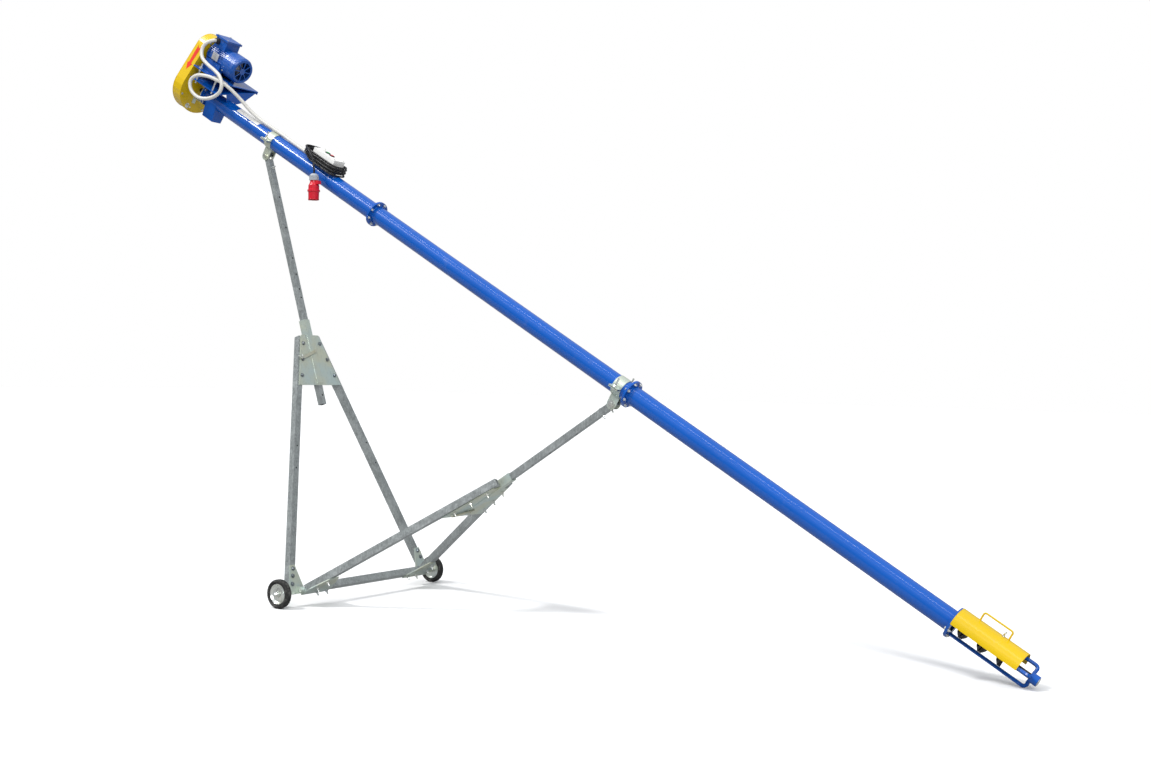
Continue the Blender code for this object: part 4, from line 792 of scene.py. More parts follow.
# The coil's middle line and the place of each strand in its section, as (outward, up).
COIL_CENTRE = (-0.452, 0.0)
COIL_TURNS = 6
COIL_HALF_LENGTH = 0.145
COIL_HALF_WIDTH = 0.064
COIL_CORNER = 0.047
COIL_HIGH = 0.0952
COIL_LOW = 0.0818
STACKED = [
    (-0.0056, 0.011), (-0.0056, 0.0), (-0.0056, -0.011), (0.0056, -0.011), (0.0056, 0.0), (0.0056, 0.011),
    (0.0, 0.0215),
]
SPREAD = [
    (-0.0025, 0.025), (-0.0025, 0.005), (-0.0025, -0.015), (0.0025, -0.025), (0.0025, -0.005), (0.0025, 0.015),
    (0.0025, 0.035),
]
CABLE_EXIT = Vector((-0.559, 0.012, 0.113))
LEAD = [
    CABLE_EXIT, CABLE_EXIT + Vector((-0.010, 0, 0)), CABLE_EXIT + Vector((-0.022, -0.006, 0)),
    Vector((-0.5905, -0.012, 0.1085)),
]
PLUG_TOP = Vector((-0.396, -0.106, 0.0102))
TAIL = [
    (-0.603, -0.018, 0.1165), (-0.598, -0.044, 0.1165), (-0.574, -0.072, 0.117), (-0.524, -0.094, 0.112),
    (-0.470, -0.104, 0.092), (-0.434, -0.106, 0.062),
]


JOIN_SKIPS = 4  # points of the first turn that the lead stands for
SPREAD_FROM, SPREAD_OVER = 0.020, 0.080  # where the strands open from stacked to spread, from the upper end
CHANGE_FROM, CHANGE_OVER = 0.58, 0.26  # the share of a turn in which a strand moves to the next place
CROSSING_GAP = 0.0032
WANDER = (0.0011, 0.0020)  # outwards and up
CABLE_STEP = 0.006
CONDUIT_STEP = 0.012


def ease(value):
    """A soft step from 0 to 1."""
    value = min(1.0, max(0.0, value))
    return value * value * (3 - 2 * value)


def coil_line():
    """The coil's middle line, once round from its upper end, as (along, across) and the way outwards there."""
    far_u, far_v = COIL_HALF_LENGTH - COIL_CORNER, COIL_HALF_WIDTH - COIL_CORNER
    path = []

    def straight(start, end, outward, count):
        for i in range(count):
            t = i / count
            path.append((start[0] + (end[0] - start[0]) * t, start[1] + (end[1] - start[1]) * t, *outward))

    def corner(x, y, first):
        for i in range(8):
            angle = radians(first + 90 * i / 8)
            path.append(
                (x * far_u + cos(angle) * COIL_CORNER, y * far_v + sin(angle) * COIL_CORNER, cos(angle), sin(angle))
            )

    straight((-COIL_HALF_LENGTH, 0), (-COIL_HALF_LENGTH, -far_v), (-1, 0), 2)
    corner(-1, -1, 180)
    straight((-far_u, -COIL_HALF_WIDTH), (far_u, -COIL_HALF_WIDTH), (0, -1), 16)
    corner(1, -1, 270)
    straight((COIL_HALF_LENGTH, -far_v), (COIL_HALF_LENGTH, far_v), (1, 0), 4)
    corner(1, 1, 0)
    straight((far_u, COIL_HALF_WIDTH), (-far_u, COIL_HALF_WIDTH), (0, 1), 16)
    corner(-1, 1, 90)
    straight((-COIL_HALF_LENGTH, far_v), (-COIL_HALF_LENGTH, 0), (-1, 0), 2)
    return path


def coil_point(u, v, out_u, out_v, strand, onward, wander):
    """Where a strand runs at one place of the middle line; onward is its share of the way to the next strand."""
    low = ease((u + COIL_HALF_LENGTH - SPREAD_FROM) / SPREAD_OVER)

    def slot(index):
        outward = STACKED[index][0] + (SPREAD[index][0] - STACKED[index][0]) * low
        rise = STACKED[index][1] + (SPREAD[index][1] - STACKED[index][1]) * low
        return outward, rise

    here, there = slot(strand), slot(strand + 1)
    apart = 4 * onward * (1 - onward) * CROSSING_GAP * (1 if here[0] > 0 else -1)
    outward = here[0] + (there[0] - here[0]) * onward + apart + wander[0] * low
    rise = here[1] + (there[1] - here[1]) * onward + wander[1] * low
    level = COIL_HIGH + (COIL_LOW - COIL_HIGH) * low
    return Vector((COIL_CENTRE[0] + u + out_u * outward, COIL_CENTRE[1] + v + out_v * outward, level + rise))


class AUGER_OT_supply_cable(bpy.types.Operator):
    """Supply cable: lead from its gland, six turns round the switch box and a tail down to the plug"""

    bl_idname = "auger.supply_cable"
    bl_label = "Supply cable"

    def execute(self, context):
        cord = context.scene.auger_cord
        upright = LINE.inverted().to_3x3() @ Vector((0, 0, 1))
        route = list(LEAD)
        line = coil_line()
        for turn in range(COIL_TURNS):
            for i, (u, v, out_u, out_v) in enumerate(line):
                joins_lead = turn == 0 and i < JOIN_SKIPS
                joins_tail = turn == COIL_TURNS - 1 and i == len(line) - 1
                if joins_lead or joins_tail:
                    continue
                share = ease((i / len(line) - CHANGE_FROM) / CHANGE_OVER)
                way = turn + i / len(line)
                outward = WANDER[0] * noise.noise((way * 3.1, turn * 7.7, 0.3))
                rise = WANDER[1] * noise.noise((way * 2.3, turn * 5.1, 4.2))
                route.append(coil_point(u, v, out_u, out_v, turn, share, (outward, rise)))
        route += [Vector(point) for point in TAIL]
        route += [PLUG_TOP + upright * above for above in (0.028, 0.014, 0.001)]
        points = [LINE @ point for point in smooth_route(route, CABLE_STEP)]
        curve = bpy.data.curves.new("supply_lead", "CURVE")
        curve.dimensions = "3D"
        spline = curve.splines.new("POLY")
        spline.points.add(len(points) - 1)
        for target, point in zip(spline.points, points):
            target.co = (*point, 1)
        curve.bevel_depth = cord.diameter / 2
        curve.bevel_resolution = 3
        curve.use_fill_caps = True
        curve.materials.append(FINISHES["cable"])
        obj = linked("supply_lead", curve)
        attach(obj, "auger")
        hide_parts("supply_cable")
        tuple(LINE @ CABLE_EXIT)
        return {"FINISHED"}


class AUGER_OT_tube_joints(bpy.types.Operator):
    """Bolts, nuts and weld beads of the tube's flanges, and the paint skin of each section"""

    bl_idname = "auger.tube_joints"
    bl_label = "Tube joints"

    def execute(self, context):
        fit = context.scene.auger_fitting
        flange_back, flange_front = 0.0064, 0.0067  # faces of a pair of flanges, from their joint
        heads, nuts = [], []
        for joint in (UPPER_JOINT, MIDDLE_JOINT, INTAKE):
            for i in range(fit.flange_bolts):
                bearing = 360 * (i + 0.5) / fit.flange_bolts
                under_cover = joint == INTAKE and 14 < bearing < 166
                if under_cover:
                    continue
                spot = about_x(fit.flange_bolt_circle, bearing, 0)
                heads.append(on(LINE, spot + Vector((joint - flange_back, 0, 0)), (-1, 0, 0)))
                nuts.append(on(LINE, spot + Vector((joint + flange_front, 0, 0)), (1, 0, 0)))
        bolts("flange_bolts", heads, "auger", fit.bolt_width)
        bolts("flange_nuts", nuts, "auger", fit.bolt_width, 0.0065, stud=0.004)
        bearings = (360 * (i + 0.5) / 4 + 8 for i in range(4))
        ends = [on(LINE, about_x(0.058, bearing, HEAD_END + flange_back), (1, 0, 0)) for bearing in bearings]
        bolts("head_bearing_bolts", ends, "auger", fit.bolt_width)
        past_spout, to_flange, past_flange = HEAD_END + 0.205, 0.0062, 0.0066
        move = LINE @ Matrix.Rotation(pi / 2, 4, "Y")
        inner, outer = PIPE_RADIUS + 0.00006, PIPE_RADIUS + 0.00018
        for name, start, end in (
            ("head", past_spout, UPPER_JOINT - to_flange),
            ("middle", UPPER_JOINT + past_flange, MIDDLE_JOINT - to_flange),
            ("lower", MIDDLE_JOINT + past_flange, INTAKE - to_flange),
        ):
            bm = bmesh.new()
            add_turned(bm, [(inner, start), (outer, start), (outer, end), (inner, end), (inner, start)], move, 96)
            keep(f"{name}_tube_skin", closed(bm), "blue", "auger")
        bm = bmesh.new()
        for along in (
            HEAD_END + 0.0068, UPPER_JOINT - 0.0068, UPPER_JOINT + 0.0070, MIDDLE_JOINT - 0.0066,
            MIDDLE_JOINT + 0.0072, INTAKE - 0.0066,
        ):
            ring = [LINE @ about_x(PIPE_RADIUS + 0.0008, 360 * i / 48, along) for i in range(48)]
            radii = [0.0024 + 0.0005 * sin(i * 2.1) for i in range(48)]
            add_tube(bm, ring, radii, 8, closed_loop=True)
        keep("flange_welds", closed(bm), "blue", "auger", sharp=180)
        return {"FINISHED"}


class AUGER_OT_motor(bpy.types.Operator):
    """Cooling fins, end bands, screws, cable gland and blank rating plate of the motor"""

    bl_idname = "auger.motor"
    bl_label = "Motor trim"

    def execute(self, context):
        fit = context.scene.auger_fitting
        start, end = STATOR_LOW.x + 0.020, STATOR_HIGH.x - 0.014
        middle, fin_root = (start + end) / 2, 0.0715
        spots = []
        for i in range(fit.fins):
            bearing = 360 * (i + 0.5) / fit.fins
            near_box, near_feet, near_plate = 52 < bearing < 128, 205 < bearing < 335, 168 < bearing < 192
            if near_box or near_feet or near_plate:
                continue
            point = about_x(fin_root, bearing, middle)
            outward = Vector((0, point.y, point.z))
            spots.append((MOTOR @ point, MOTOR.to_3x3() @ outward, MOTOR.to_3x3() @ Vector((1, 0, 0))))
        values = {"Length": 0.0022, "Thickness": end - start, "Height": fit.fin_height}
        grown("motor_fins", seed_points(spots), TREES["fin"], values, "motor", "auger")
        lid = [
            on(MOTOR, (x, y, TERMINAL_HIGH.z + STAND_OFF), (0, 0, 1))
            for x in (TERMINAL_LOW.x + 0.010, TERMINAL_HIGH.x - 0.010)
            for y in (-0.050, 0.050)
        ]
        bolts("terminal_lid_screws", lid, "auger", 0.0085, 0.0030)
        cover = [
            on(MOTOR, about_x(FAN_HIGH.y + STAND_OFF, bearing, FAN_LOW.x + 0.010), about_x(1, bearing, 0))
            for bearing in (35, 145, 215, 325)
        ]
        bolts("fan_cover_screws", cover, "auger", 0.0085, 0.0030)
        bm = bmesh.new()
        collar = Matrix.Translation((TERMINAL_LOW.x + 0.036, 0, TERMINAL_HIGH.z - 0.036))
        add_turned(
            bm,
            [
                (0.0147, 0.0525), (0.0175, 0.0525), (0.0182, 0.0540), (0.0182, 0.0640), (0.0170, 0.0655),
                (0.0170, 0.0765), (0.0158, 0.0790), (0.0118, 0.0790), (0.0118, 0.0782), (0.0147, 0.0782),
                (0.0147, 0.0525),
            ],
            MOTOR @ collar @ Matrix.Rotation(pi / 2, 4, "X"),
        )
        keep("terminal_gland_collar", closed(bm), "black", "auger")
        bm = bmesh.new()
        add_box(bm, (middle - 0.030, -0.0782, -0.020), (middle + 0.030, -0.0718, 0.028), MOTOR, 0.0004)
        keep("rating_plate_blank", closed(bm), "plate", "auger")
        bm = bmesh.new()
        for ring_at in (STATOR_LOW.x + 0.020, STATOR_HIGH.x - 0.013):
            move = MOTOR @ Matrix.Translation((ring_at, 0, 0)) @ Matrix.Rotation(pi / 2, 4, "Y")
            band = [(0.0705, -0.004), (0.0795, -0.0035), (0.0795, 0.0035), (0.0705, 0.004), (0.0705, -0.004)]
            add_turned(bm, band, move, 48)
        keep("motor_end_bands", closed(bm), "motor", "auger")
        return {"FINISHED"}


class AUGER_OT_guard(bpy.types.Operator):
    """Rim bead, screws and direction arrow of the belt guard"""

    bl_idname = "auger.guard"
    bl_label = "Belt guard trim"

    def execute(self, context):
        band_middle = Vector(((GUARD_LOW.x + GUARD_HIGH.x) / 2, 0, 0))
        big, small = GUARD_HIGH.y, GUARD_HIGH.z - MOTOR_RISE
        tilt = asin((big - small) / MOTOR_RISE)
        # The arrow lies on the flat near flank of the band, its head towards the large end.
        outward = Vector((0, -cos(tilt), sin(tilt)))
        down = Vector((0, -sin(tilt), -cos(tilt)))
        flank = sqrt(MOTOR_RISE ** 2 - (big - small) ** 2)
        up_flank = 0.60
        centre = outward * big - down * flank * up_flank + band_middle + outward * 0.0004
        side, thickness = Vector((1, 0, 0)), outward * 0.0005
        outline = [
            (-0.090, 0.0165), (-0.070, 0.0), (-0.090, -0.0165), (0.036, -0.0115), (0.036, -0.0235), (0.084, 0.0),
            (0.036, 0.0235), (0.036, 0.0115),
        ]
        bm = bmesh.new()
        low = [bm.verts.new(LINE @ (centre + down * x + side * y)) for x, y in outline]
        high = [bm.verts.new(LINE @ (centre + down * x + side * y + thickness)) for x, y in outline]
        bm.faces.new(low)
        bm.faces.new(high)
        for i in range(len(outline)):
            j = (i + 1) % len(outline)
            bm.faces.new((low[i], low[j], high[j], high[i]))
        keep("direction_arrow", closed(bm), "arrow", "auger")
        spots = []
        for bearing, radius, centre_z in (
            (200, big, 0), (245, big, 0), (295, big, 0), (340, big, 0), (40, small, MOTOR_RISE),
            (140, small, MOTOR_RISE),
        ):
            point = about_x(radius - 0.014, bearing, BACK_PLATE_FACE + STAND_OFF) + Vector((0, 0, centre_z))
            spots.append(on(LINE, point, (1, 0, 0)))
        bolts("guard_screws", spots, "auger", 0.0115, 0.004)
        stay = on(LINE, (BACK_PLATE_FACE + STAND_OFF, -0.066, -0.118), (1, 0, 0))
        bolts("guard_stay_bolt", [stay], "auger", 0.019, 0.008, washer=0.016, stud=0.022, stud_radius=0.005)
        nuts = []
        for name in ("tension_bolt_1", "tension_bolt_2"):
            low, high = local_box(name, LINE)
            middle = (low + high) / 2
            nuts.append(on(LINE, (middle.x, middle.y, PLATFORM_TOP + 0.0003), (0, 0, 1)))
            nuts.append(on(LINE, (middle.x, middle.y, PLATFORM_TOP - 0.0064), (0, 0, -1)))
        bolts("tension_nuts", nuts, "auger", 0.021, 0.0085, washer=0.0145)
        bm = bmesh.new()
        low, high = (-1.500, -0.112, PLATFORM_TOP + 0.0003), (-1.402, -0.070, PLATFORM_TOP + 0.0045)
        add_box(bm, low, high, LINE, 0.0008)
        keep("platform_packing_plate", closed(bm), "plate", "auger")
        bm = bmesh.new()
        lean = degrees(tilt)
        rim = [about_x(big - 0.0004, 180 - lean + (180 + 2 * lean) * i / 32, 0) for i in range(33)]
        top = [about_x(small - 0.0004, lean + (180 - 2 * lean) * i / 24, 0) for i in range(25)]
        rim += [point + Vector((0, 0, MOTOR_RISE)) for point in top]
        for along in (GUARD_LOW.x + 0.0014, BACK_PLATE_FACE - 0.0012):
            add_tube(bm, [LINE @ (point + Vector((along, 0, 0))) for point in rim], 0.0016, 8, closed_loop=True)
        keep("guard_rim_beads", closed(bm), "yellow", "auger", sharp=180)
        return {"FINISHED"}


class AUGER_OT_clamps(bpy.types.Operator):
    """Threaded clamp bolts with their nuts on both pipe clamps"""

    bl_idname = "auger.clamps"
    bl_label = "Clamp bolts"

    def execute(self, context):
        ear = PIPE_RADIUS + 0.0043 + 0.017  # past the band, to the middle of its ear
        top, under = 0.0058, -0.0058
        nuts, heads = [], []
        shanks = bmesh.new()
        for name in ("upper", "lower"):
            low, high = local_box(f"{name}_clamp_strap", LINE)
            middle = (low.x + high.x) / 2
            for side in (-1, 1):
                nuts.append(on(LINE, (middle, side * ear, top), (0, 0, 1)))
                heads.append(on(LINE, (middle, side * ear, under), (0, 0, -1)))
                profile = [(0, -0.0055), (0.0046, -0.0055), (0.0046, 0.0060), (0, 0.0060)]
                add_turned(shanks, profile, LINE @ Matrix.Translation((middle, side * ear, 0)), 12)
        bolts("clamp_nuts", nuts, "auger", 0.017, 0.0075, washer=0.0115, stud=0.040, stud_radius=0.0046)
        bolts("clamp_heads", heads, "auger", 0.017, 0.0062, washer=0.0115, stud=0.002, stud_radius=0.004)
        keep("clamp_bolt_shanks", closed(shanks), "bright", "auger")
        return {"FINISHED"}


LEG_END = 0.02


def leg_line(node, move):
    """Centre line of a leg in its frame: (y, z) at its foot and at its top."""
    points = local_points(node, move)
    low, high = (end.z for end in extent(points))
    foot = extent([point for point in points if point.z < low + LEG_END])
    top = extent([point for point in points if point.z > high - LEG_END])
    return tuple(((a.y + b.y) / 2, (a.z + b.z) / 2) for a, b in (foot, top))


def leg_y(node, move, height):
    """How far across the machine a leg's centre line is at a height of its frame."""
    (foot_y, foot_z), (top_y, top_z) = leg_line(node, move)
    return foot_y + (top_y - foot_y) * (height - foot_z) / (top_z - foot_z)


class AUGER_OT_carriage(bpy.types.Operator):
    """Bolts of apex, foot and corner plates, sleeve welds, fork bolts, clips, and dark discs and blocks of painted
    shade for the spare holes and the legs' hollow upper ends
    """

    bl_idname = "auger.carriage"
    bl_label = "Carriage fittings"

    def execute(self, context):
        width = context.scene.auger_fitting.bolt_width
        face = PLATE_FRONT + STAND_OFF
        down_plate = (0.17, 0.49, 0.81)
        top_half, flare = 0.052, 0.104  # the plate bolts' lines, out from the mast
        rear, front = [], []
        for side_name, side in (("near", -1), ("far", 1)):
            for part in down_plate:
                across = side * (top_half + flare * part)
                rear.append(on(REAR, (face, across, REAR_PLATE_TOP - PLATE_LENGTH * part), (1, 0, 0)))
                front.append(on(FRONT, (face, across, FRONT_PLATE_TOP - PLATE_LENGTH * part), (1, 0, 0)))
            for height in (0.040, 0.085, 0.125):
                rear.append(on(REAR, (face, leg_y(f"rear_leg_{side_name}", REAR, height), height), (1, 0, 0)))
            for height in (0.055, 0.120):
                front.append(on(FRONT, (face, leg_y(f"front_leg_{side_name}", FRONT, height), height), (1, 0, 0)))
            for across in (0.425, 0.350):
                front.append(on(FRONT, (face, side * across, 0.0), (1, 0, 0)))
        bolts("rear_frame_bolts", rear, "carriage", width * 1.3, 0.0075, washer=0.0125, stud=0.002, finish="dull")
        bolts(
            "front_frame_bolts", front, "front_frame", width * 1.3, 0.0080, washer=0.0125, stud=0.016,
            stud_radius=0.0048,
        )
        self.sleeve_welds()
        self.mast_fittings()
        self.lock_pin_clips()
        self.leg_marks()
        return {"FINISHED"}

    def mast_fittings(self):
        """Nuts and threads of the fork bolts at the masts' tops, and the row of setting holes down each mast, drawn as
        dark discs of painted shade.
        """
        face_out, below_top, tail_hole = 0.0177, (0.045, 0.105), 1.135
        for name, move, top in (("rear", REAR, REAR_MAST_TOP), ("front", FRONT, FRONT_MAST_TOP)):
            nuts, heads = (
                [on(move, (side * face_out, 0, top - below), (side, 0, 0)) for below in below_top] for side in (1, -1)
            )
            body = f"{name}_mast"
            bolts(f"{name}_fork_nuts", nuts, body, 0.015, 0.0068, washer=0.0100, stud=0.014, stud_radius=0.0038)
            bolts(f"{name}_fork_heads", heads, body, 0.015, 0.0055, washer=0.0100)
            bm = bmesh.new()
            heights = [top - 0.30 - 0.20 * i for i in range(4 if name == "rear" else 2)]
            for height in [*heights, tail_hole] if name == "rear" else heights:
                for face in (1, -1):
                    # Each hole's mouth is a dark disc of painted shade on the mast's face, not an opening.
                    disc(bm, move, (face * 0.01762, 0, height), face, 0.0058)
            keep(f"{name}_mast_hole_painted_shade", closed(bm), "dark", body, sharp=30)

    def lock_pin_clips(self):
        """Spring clip and pull ring before each lock pin."""
        for name, move in (("rear", REAR), ("front", FRONT)):
            low, high = local_box(f"{name}_lock_pin", move)
            ahead = high.x + 0.0020
            if name == "rear":
                hook = Vector((ahead, low.y + 0.006, low.z + 0.012))
            else:
                hook = Vector((ahead, 0.0, (low.z + high.z) / 2))
            bm = bmesh.new()
            ring = [hook + Vector((0.0085 * cos(a) + 0.0085, 0, 0.0105 * sin(a))) for a in turns(24)]
            add_tube(bm, [move @ point for point in ring], 0.0013, 8, closed_loop=True)
            clip = (
                (0.018, -0.003), (0.004, -0.0035), (-0.006, -0.0085), (-0.016, -0.0065), (-0.0185, 0.001),
                (-0.012, 0.0065), (-0.003, 0.0045), (0.006, 0.0075), (0.016, 0.0065),
            )
            path = smooth_route([hook + Vector((0.0015, y, z)) for y, z in clip], 0.002)
            add_tube(bm, [move @ point for point in path], 0.0011, 8)
            keep(f"{name}_lock_clip", closed(bm), "bright", f"{name}_lock_pin", sharp=180)

    def leg_marks(self):
        """Two spare holes half way up each rear leg, drawn as dark discs of painted shade, and a dark block of painted
        shade in the upper end of every leg, where its hollow lies in shade.
        """
        bm = bmesh.new()
        for side_name in ("near", "far"):
            for height in (0.83, 0.70):
                # A dark disc of painted shade for each spare hole.
                disc(bm, REAR, (0.01412, leg_y(f"rear_leg_{side_name}", REAR, height), height), 1, 0.0052)
        keep("rear_leg_hole_painted_shade", closed(bm), "dark", "carriage", sharp=30)
        for name, move, body in (("rear", REAR, "carriage"), ("front", FRONT, "front_frame")):
            bm = bmesh.new()
            for side_name in ("near", "far"):
                (foot_y, foot_z), (top_y, top_z) = leg_line(f"{name}_leg_{side_name}", move)
                along = Vector((0, top_y - foot_y, top_z - foot_z)).normalized()
                inside = Matrix.Translation(Vector((-0.006, top_y, top_z)) - along * 0.022)
                inside = move @ inside @ Matrix.Rotation(atan2(-along.y, along.z), 4, "X")
                # A dark block of painted shade just inside the leg's open end, standing for the shade in its hollow.
                add_box(bm, (-0.0164, -0.0164, -0.003), (0.0164, 0.0164, 0.0), inside, 0.0015)
            keep(f"{name}_leg_end_painted_shade", closed(bm), "dark", body)

    def sleeve_welds(self):
        """A rough bead down both sides of each mast's sleeve."""
        step = 0.012
        for name, move, top, body in (
            ("rear", REAR, REAR_PLATE_TOP, "carriage"), ("front", FRONT, FRONT_PLATE_TOP, "front_frame")
        ):
            bm = bmesh.new()
            for side in (-1, 1):
                heights = [top - step - i * step for i in range(24)]
                route = [move @ Vector((PLATE_FRONT + 0.0004, side * 0.0232, height)) for height in heights]
                add_tube(bm, route, [0.0026 + 0.0007 * sin(i * 2.3) for i in range(24)], 8)
            keep(f"{name}_sleeve_welds", closed(bm), "zinc", body, sharp=180)


def disc(bm, move, centre, face, radius):
    """A thin flat disc across a frame's x axis, drawn dark as painted shade for the mouth of a drilled hole."""
    turned = move @ Matrix.Translation(centre) @ Matrix.Rotation(face * pi / 2, 4, "Y")
    add_turned(bm, [(0, -0.0001), (radius, -0.0001), (radius, 0.00015), (0, 0.00015)], turned, 20)


class AUGER_OT_wheels(bpy.types.Operator):
    """Sidewall ribs, hub caps and pressed rim rings of the wheels"""

    bl_idname = "auger.wheels"
    bl_label = "Wheel trim"

    def execute(self, context):
        for name, side in (("near", -1), ("far", 1)):
            centre = Vector((AXLE.x, side * HALF_TRACK, AXLE.z))
            move = Matrix.Translation(centre) @ Matrix.Rotation(-side * pi / 2, 4, "X")
            bm = bmesh.new()
            for radius, height in ((0.0625, 0.0162), (0.0672, 0.0186)):
                add_tube(bm, [move @ point for point in circle(radius, height, 64)], 0.0007, 8, closed_loop=True)
            keep(f"tyre_ribs_{name}", closed(bm), "tyre", f"wheel_{name}", sharp=180)
            bm = bmesh.new()
            add_turned(
                bm,
                [
                    (0.0552, 0.0134), (0.0556, 0.0150), (0.0535, 0.0158), (0.0505, 0.0130), (0.0470, 0.0070),
                    (0.0420, 0.0035), (0.0300, 0.0045), (0.0240, 0.0075), (0.0178, 0.0080), (0.0178, 0.0065),
                    (0.0240, 0.0060), (0.0300, 0.0030), (0.0420, 0.0020), (0.0475, 0.0055), (0.0515, 0.0115),
                    (0.0552, 0.0134),
                ],
                move, 48,
            )
            keep(f"rim_pressing_{name}", closed(bm), "bright", f"wheel_{name}", sharp=60)
            hub_end = 0.024 + 0.0032
            bolts(
                f"axle_nut_{name}", [on(move, (0, 0, hub_end), (0, 0, 1))], "carriage", 0.0225, 0.010, washer=0.0145,
                stud=0.006, stud_radius=0.0075,
            )
            bm = bmesh.new()
            washer = [
                (0.0182, 0.0243), (0.0182, 0.0252), (0.0100, 0.0262), (0.0086, 0.0262), (0.0086, 0.0243),
                (0.0182, 0.0243),
            ]
            add_turned(bm, washer, move, 32)
            keep(f"hub_washer_{name}", closed(bm), "bright", f"wheel_{name}")
        return {"FINISHED"}


class AUGER_OT_switch_box(bpy.types.Operator):
    """Lid seam, screws, button bezels and blank label of the switch box"""

    bl_idname = "auger.switch_box"
    bl_label = "Switch box trim"

    def execute(self, context):
        low, high = BOX_CORNERS
        bm = bmesh.new()
        lip = Vector((0.0012, 0.0012, 0))
        seam_low, seam_high = Vector((low.x, low.y, high.z - 0.034)), Vector((high.x, high.y, high.z - 0.0315))
        add_box(bm, seam_low - lip, seam_high + lip, LINE, 0.0006)
        keep("switch_box_seam", closed(bm), "box", "auger")
        spots = [
            on(LINE, (x, y, high.z + STAND_OFF), (0, 0, 1)) for x in (low.x + 0.010, high.x - 0.010)
            for y in (low.y + 0.009, high.y - 0.009)
        ]
        bolts("switch_box_screws", spots, "auger", 0.0075, 0.0018, washer=0.0045)
        bm = bmesh.new()
        for along in (0.075, 0.115):
            move = LINE @ Matrix.Translation((low.x + along, 0, high.z))
            bezel = [
                (0.0118, 0.0003), (0.0172, 0.0003), (0.0168, 0.0030), (0.0150, 0.0044), (0.0118, 0.0044),
                (0.0118, 0.0003),
            ]
            add_turned(bm, bezel, move, 32)
        keep("button_bezels", closed(bm), "black", "auger")
        bm = bmesh.new()
        add_box(bm, (low.x + 0.020, -0.026, high.z + STAND_OFF), (low.x + 0.052, 0.026, high.z + 0.0009), LINE, 0.0002)
        keep("switch_box_label_blank", closed(bm), "sticker", "auger")
        return {"FINISHED"}


class AUGER_OT_plug(bpy.types.Operator):
    """Grip ribs of the plug's cap and rim of its shell"""

    bl_idname = "auger.plug"
    bl_label = "Plug trim"

    def execute(self, context):
        move = Matrix.Translation(LINE @ PLUG_TOP)
        spots = []
        for outward in circle(1, 0, 22):
            point = move @ (outward * 0.0262 + Vector((0, 0, -0.0215)))
            spots.append((point, outward, Vector((0, 0, 1))))
        values = {"Length": 0.0022, "Thickness": 0.024, "Height": 0.0016}
        grown("plug_cap_ribs", seed_points(spots), TREES["fin"], values, "cap", "auger")
        bm = bmesh.new()
        for height in (-0.1035, -0.1495):
            add_tube(bm, [move @ point for point in circle(0.0322, height, 40)], 0.0012, 8, closed_loop=True)
        keep("plug_shell_rims", closed(bm), "red", "auger", sharp=180)
        return {"FINISHED"}


class AUGER_OT_intake(bpy.types.Operator):
    """Wing screw and edge rolls of the intake cover, and the bearing's cap"""

    bl_idname = "auger.intake"
    bl_label = "Intake trim"

    def execute(self, context):
        radius = 0.0786
        move = LINE @ Matrix.Translation((COVER_START + 0.205, 0, radius))
        bm = bmesh.new()
        stem = [(0, 0.0002), (0.0085, 0.0002), (0.0085, 0.0018), (0.0062, 0.0022), (0.0050, 0.0090), (0, 0.0090)]
        add_turned(bm, stem, move, 20)
        for side in (-1, 1):
            parts = (0, 0.25, 0.5, 0.75, 1.0)
            wing = [move @ Vector((0, side * (0.004 + 0.013 * t), 0.005 + 0.016 * t ** 0.7)) for t in parts]
            add_tube(bm, wing, [0.0022, 0.0026, 0.0034, 0.0036, 0.0022], 10)
        keep("cover_wing_screw", closed(bm), "bright", "intake_cover")
        bm = bmesh.new()
        for end in (COVER_START + 0.0012, COVER_START + 0.3338):
            arc = [LINE @ about_x(radius - 0.0008, 7 + 166 * i / 30, end) for i in range(31)]
            add_tube(bm, arc, 0.0013, 8)
        keep("cover_edge_rolls", closed(bm), "yellow", "intake_cover", sharp=180)
        cage_end = local_box("intake_cage", LINE)[1].x
        move = LINE @ Matrix.Translation((cage_end, 0, 0)) @ Matrix.Rotation(pi / 2, 4, "Y")
        bm = bmesh.new()
        cap = [
            (0, 0.0002), (0.0205, 0.0002), (0.0205, 0.0012), (0.0185, 0.0020), (0.0090, 0.0022), (0.0070, 0.0034),
            (0, 0.0038),
        ]
        add_turned(bm, cap, move, 40)
        keep("intake_bearing_cap", closed(bm), "bright", "auger")
        return {"FINISHED"}


class AUGER_OT_stickers(bpy.types.Operator):
    """Blank sticker on the tube, in one neutral colour"""

    bl_idname = "auger.stickers"
    bl_label = "Blank stickers"

    def execute(self, context):
        bm = bmesh.new()
        start, end = -1.275, -1.060
        first, last = 68, 138  # degrees round the tube
        made = []
        for i in range(13):
            bearing = first + (last - first) * i / 12
            radii = (PIPE_RADIUS + 0.0002, PIPE_RADIUS + 0.0007)
            made.append([
                [bm.verts.new(LINE @ about_x(radius, bearing, along)) for along in (start, end)] for radius in radii
            ])
        for a, b in zip(made, made[1:]):
            for layer in (0, 1):
                bm.faces.new((a[layer][0], b[layer][0], b[layer][1], a[layer][1]))
            for end_index in (0, 1):
                bm.faces.new((a[0][end_index], b[0][end_index], b[1][end_index], a[1][end_index]))
        for row in (made[0], made[-1]):
            bm.faces.new((row[0][0], row[0][1], row[1][1], row[1][0]))
        keep("tube_sticker_blank", closed(bm), "sticker", "auger")
        return {"FINISHED"}


FLOOR_HALF = 60
BOUNCE = 0.42  # how much darker the floor is to light than to the camera
STRIP_LENGTH, STRIP_DISTANCE, STRIP_MIDDLE = 11.0, 4.0, Vector((-1.0, 0, 0))
CAMERA_FROM_AXLE = Vector((5.565, -6.058, 1.319))
CAMERA_YAW, CAMERA_PITCH, CAMERA_ROLL = -33.91, -0.4, 1.19


